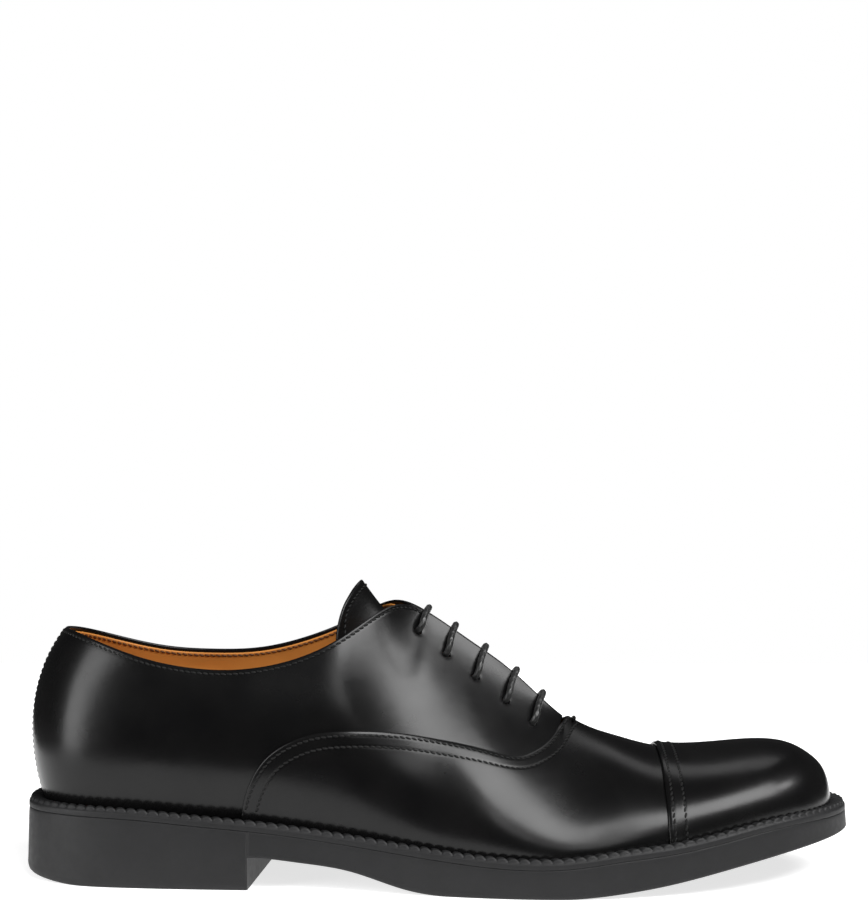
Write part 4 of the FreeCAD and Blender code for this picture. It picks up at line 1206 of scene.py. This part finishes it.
def soft_light(name, azimuth, elevation, distance, width, height, radiance, turn):
    """A rectangular softbox that looks at the shoe from a direction."""
    data = bpy.data.lights.new(name, "AREA")
    data.shape = "RECTANGLE"
    data.size = width * MM
    data.size_y = height * MM
    data.energy = radiance * math.pi * data.size * data.size_y
    lamp = bpy.data.objects.new(name, data)
    heading = Vector(direction(azimuth, elevation)).normalized()
    target = Vector((0.0, 0.0, 50.0))
    lamp.location = (target + heading * distance) * MM
    lamp.rotation_mode = "QUATERNION"
    own_turn = Quaternion((0.0, 0.0, 1.0), math.radians(turn))
    lamp.rotation_quaternion = heading.to_track_quat("Z", "Y") @ own_turn
    bpy.context.scene.collection.objects.link(lamp)


def make_lights():
    """Soft studio light: a large box overhead, a tall one beside the heel and three small fills."""
    for softbox in SOFTBOXES:
        soft_light(*softbox)
    world = bpy.data.worlds.new("room")
    bpy.context.scene.world = world
    world.use_nodes = True
    tree = world.node_tree
    tree.nodes.clear()
    mix = tree.nodes.new("ShaderNodeMixShader")
    rays = tree.nodes.new("ShaderNodeLightPath")
    tree.links.new(rays.outputs["Is Camera Ray"], mix.inputs["Fac"])
    for socket, strength in ((1, ROOM_LIGHT), (2, BACKDROP)):
        background = tree.nodes.new("ShaderNodeBackground")
        background.inputs["Color"].default_value = (1.0, 1.0, 1.0, 1.0)
        background.inputs["Strength"].default_value = strength
        tree.links.new(background.outputs["Background"], mix.inputs[socket])
    out = tree.nodes.new("ShaderNodeOutputWorld")
    tree.links.new(mix.outputs["Shader"], out.inputs["Surface"])
    bpy.context.scene.view_settings.view_transform = "Standard"


def finish_piece(piece, material, slot, body, *nodes):
    """Paint a piece, fix it to its body (a flex piece stays in the frame) and hide the CAD nodes it stands
    for.
    """
    paint(piece, material)
    if body == "flex":
        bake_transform(piece)
    else:
        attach(piece, body)
    if nodes:
        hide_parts(*nodes)


def make_upper(leather, lining, black_thread, brown_thread):
    """The quarters, vamp, toe cap and tongue with their linings and stitches."""
    quarter_rows = []
    lining_rows = []
    for side in (LATERAL, MEDIAL):
        name = SIDE_NAMES[side]
        piece, rows = make_quarter(side)
        finish_piece(piece, leather, "black_leather", "rear", "quarter_" + name)
        quarter_rows += rows
        piece, row = make_quarter_lining(side)
        finish_piece(piece, lining, "tan_lining", "rear", "quarter_lining_" + name)
        lining_rows.append(row)
    finish_piece(stitches("topline_stitches", quarter_rows), black_thread, "black_leather", "rear")
    finish_piece(stitches("lining_stitches", lining_rows), brown_thread, "tan_lining", "rear")
    piece, rows = make_vamp()
    finish_piece(piece, leather, "black_leather", "flex", "vamp")
    finish_piece(stitches("vamp_stitches", rows), black_thread, "black_leather", "flex")
    piece, rows = make_toe_cap()
    finish_piece(piece, leather, "black_leather", "forefoot", "toe_cap")
    finish_piece(stitches("cap_stitches", rows), black_thread, "black_leather", "forefoot")
    tongue, tongue_back, row = make_tongue()
    finish_piece(tongue, leather, "black_leather", "tongue_body", "tongue")
    finish_piece(tongue_back, lining, "tan_lining", "tongue_body", "tongue_lining")
    finish_piece(stitches("tongue_stitches", [row]), black_thread, "black_leather", "tongue_body")


def make_front_linings(cloth):
    """The cloth lining and the interlining under the vamp."""
    def depth(s):
        return -(INTERLINING + GAP) * (1.0 - smooth_step(s, 0.985, 1.03))

    piece = toe_panel("vamp_lining_cloth", THROAT + 0.002, TOE_END, 0.0, depth, LINING, 110)
    finish_piece(piece, cloth, "lining_cloth", "flex", "vamp_lining")
    piece = toe_panel("vamp_interlining_cloth", THROAT + 0.01, VAMP_END - 0.01, 0.03,
                      lambda s: 0.0, INTERLINING, 50)
    finish_piece(piece, cloth, "lining_cloth", "flex", "vamp_interlining")


def make_bottom(rubber, lining):
    """The sole, the welt and the three sheets between them and the foot."""
    finish_piece(make_outsole(), rubber, "sole_rubber", "flex", "outsole")
    finish_piece(make_welt(), rubber, "sole_rubber", "flex", "storm_welt")
    cork = plain("cork", (0.20, 0.11, 0.05), (0.34, 0.20, 0.10), 0.9, 500.0, 0.3)
    board = plain("insole_board", (0.30, 0.23, 0.15), (0.40, 0.31, 0.21), 0.85, 600.0)
    walls = [(0.0, -0.15), (0.2, 0.0), (0.8, 0.0), (1.0, -0.15)]
    gap = 0.02                 # under the filler and the board
    sock_bottom = BOARD_THICK + 0.05
    for name, node, material, slot, inset, top, bottom in (
            ("cork_filler_sheet", "cork_filler", cork, "cork", WELT_RING_INSET + 0.3,
             lambda x: 1.3 * smooth_step(x, 8.0, 14.0) - 1.4, gap - WELT_THICK),
            ("insole_board_sheet", "insole_board", board, "insole_board", BOARD_INSET,
             lambda x: BOARD_THICK, gap),
            ("sock_lining_leather", "sock_lining", lining, "tan_lining", SOCK_INSET,
             lambda x: sock_bottom + SOCK_THICK, sock_bottom)):
        piece = slab(name, inset_outline(inset), lambda x, own_x: welt_flat(own_x) + top(own_x),
                     lambda x, own_x: welt_flat(own_x) + bottom, walls)
        finish_piece(piece, material, slot, "flex", node)


def paint_cad_pieces(cloth, black_thread):
    """Give the pieces that keep their CAD shape a material."""
    stiff = [plain(name, (0.33, 0.28, 0.20), (0.42, 0.36, 0.27), 0.8)
             for name in ("stiffener", "toe_stiffener")]
    steel = plain("spring_steel", (0.35, 0.35, 0.36), (0.45, 0.45, 0.46), 0.35, 200.0, 0.02, 1.0)
    plastic = plain("aglet_plastic", (0.010, 0.010, 0.010), (0.016, 0.016, 0.016), 0.3, 200.0, 0.02)
    for name, material in (
            ("facing_tape_lateral", cloth), ("facing_tape_medial", cloth),
            ("heel_counter", stiff[0]), ("toe_puff", stiff[1]),
            ("steel_shank", steel), ("heel_nails", steel), ("throat_bartack", black_thread),
            ("aglet_lateral", plastic), ("aglet_medial", plastic)):
        paint(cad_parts[name], material)


def main():
    """Build the scene: the camera and the lace first, then the other pieces and the setting."""
    make_camera()
    lace_wax = waxed_cord()
    route = lace_route()
    make_tail("lateral", route[1], route[0], lace_wax)
    make_tail("medial", route[-2], route[-1], lace_wax)
    finish_piece(braided_cord("lace_cord", route, LACE_RADIUS), lace_wax, "waxed_lace", "rear", "lace")

    lining = tan_lining()
    black_thread = thread("black_thread", (0.004, 0.004, 0.004))
    brown_thread = thread("brown_thread", (0.09, 0.032, 0.010))
    make_upper(black_leather(), lining, black_thread, brown_thread)
    cloth = plain("lining_cloth", (0.55, 0.52, 0.45), (0.66, 0.63, 0.56), 0.85, 900.0)
    make_front_linings(cloth)
    make_bottom(moulded_rubber("sole_rubber", (0.0095, 0.0095, 0.0100), 0.55), lining)
    paint_cad_pieces(cloth, black_thread)

    make_floor()
    make_lights()


main()
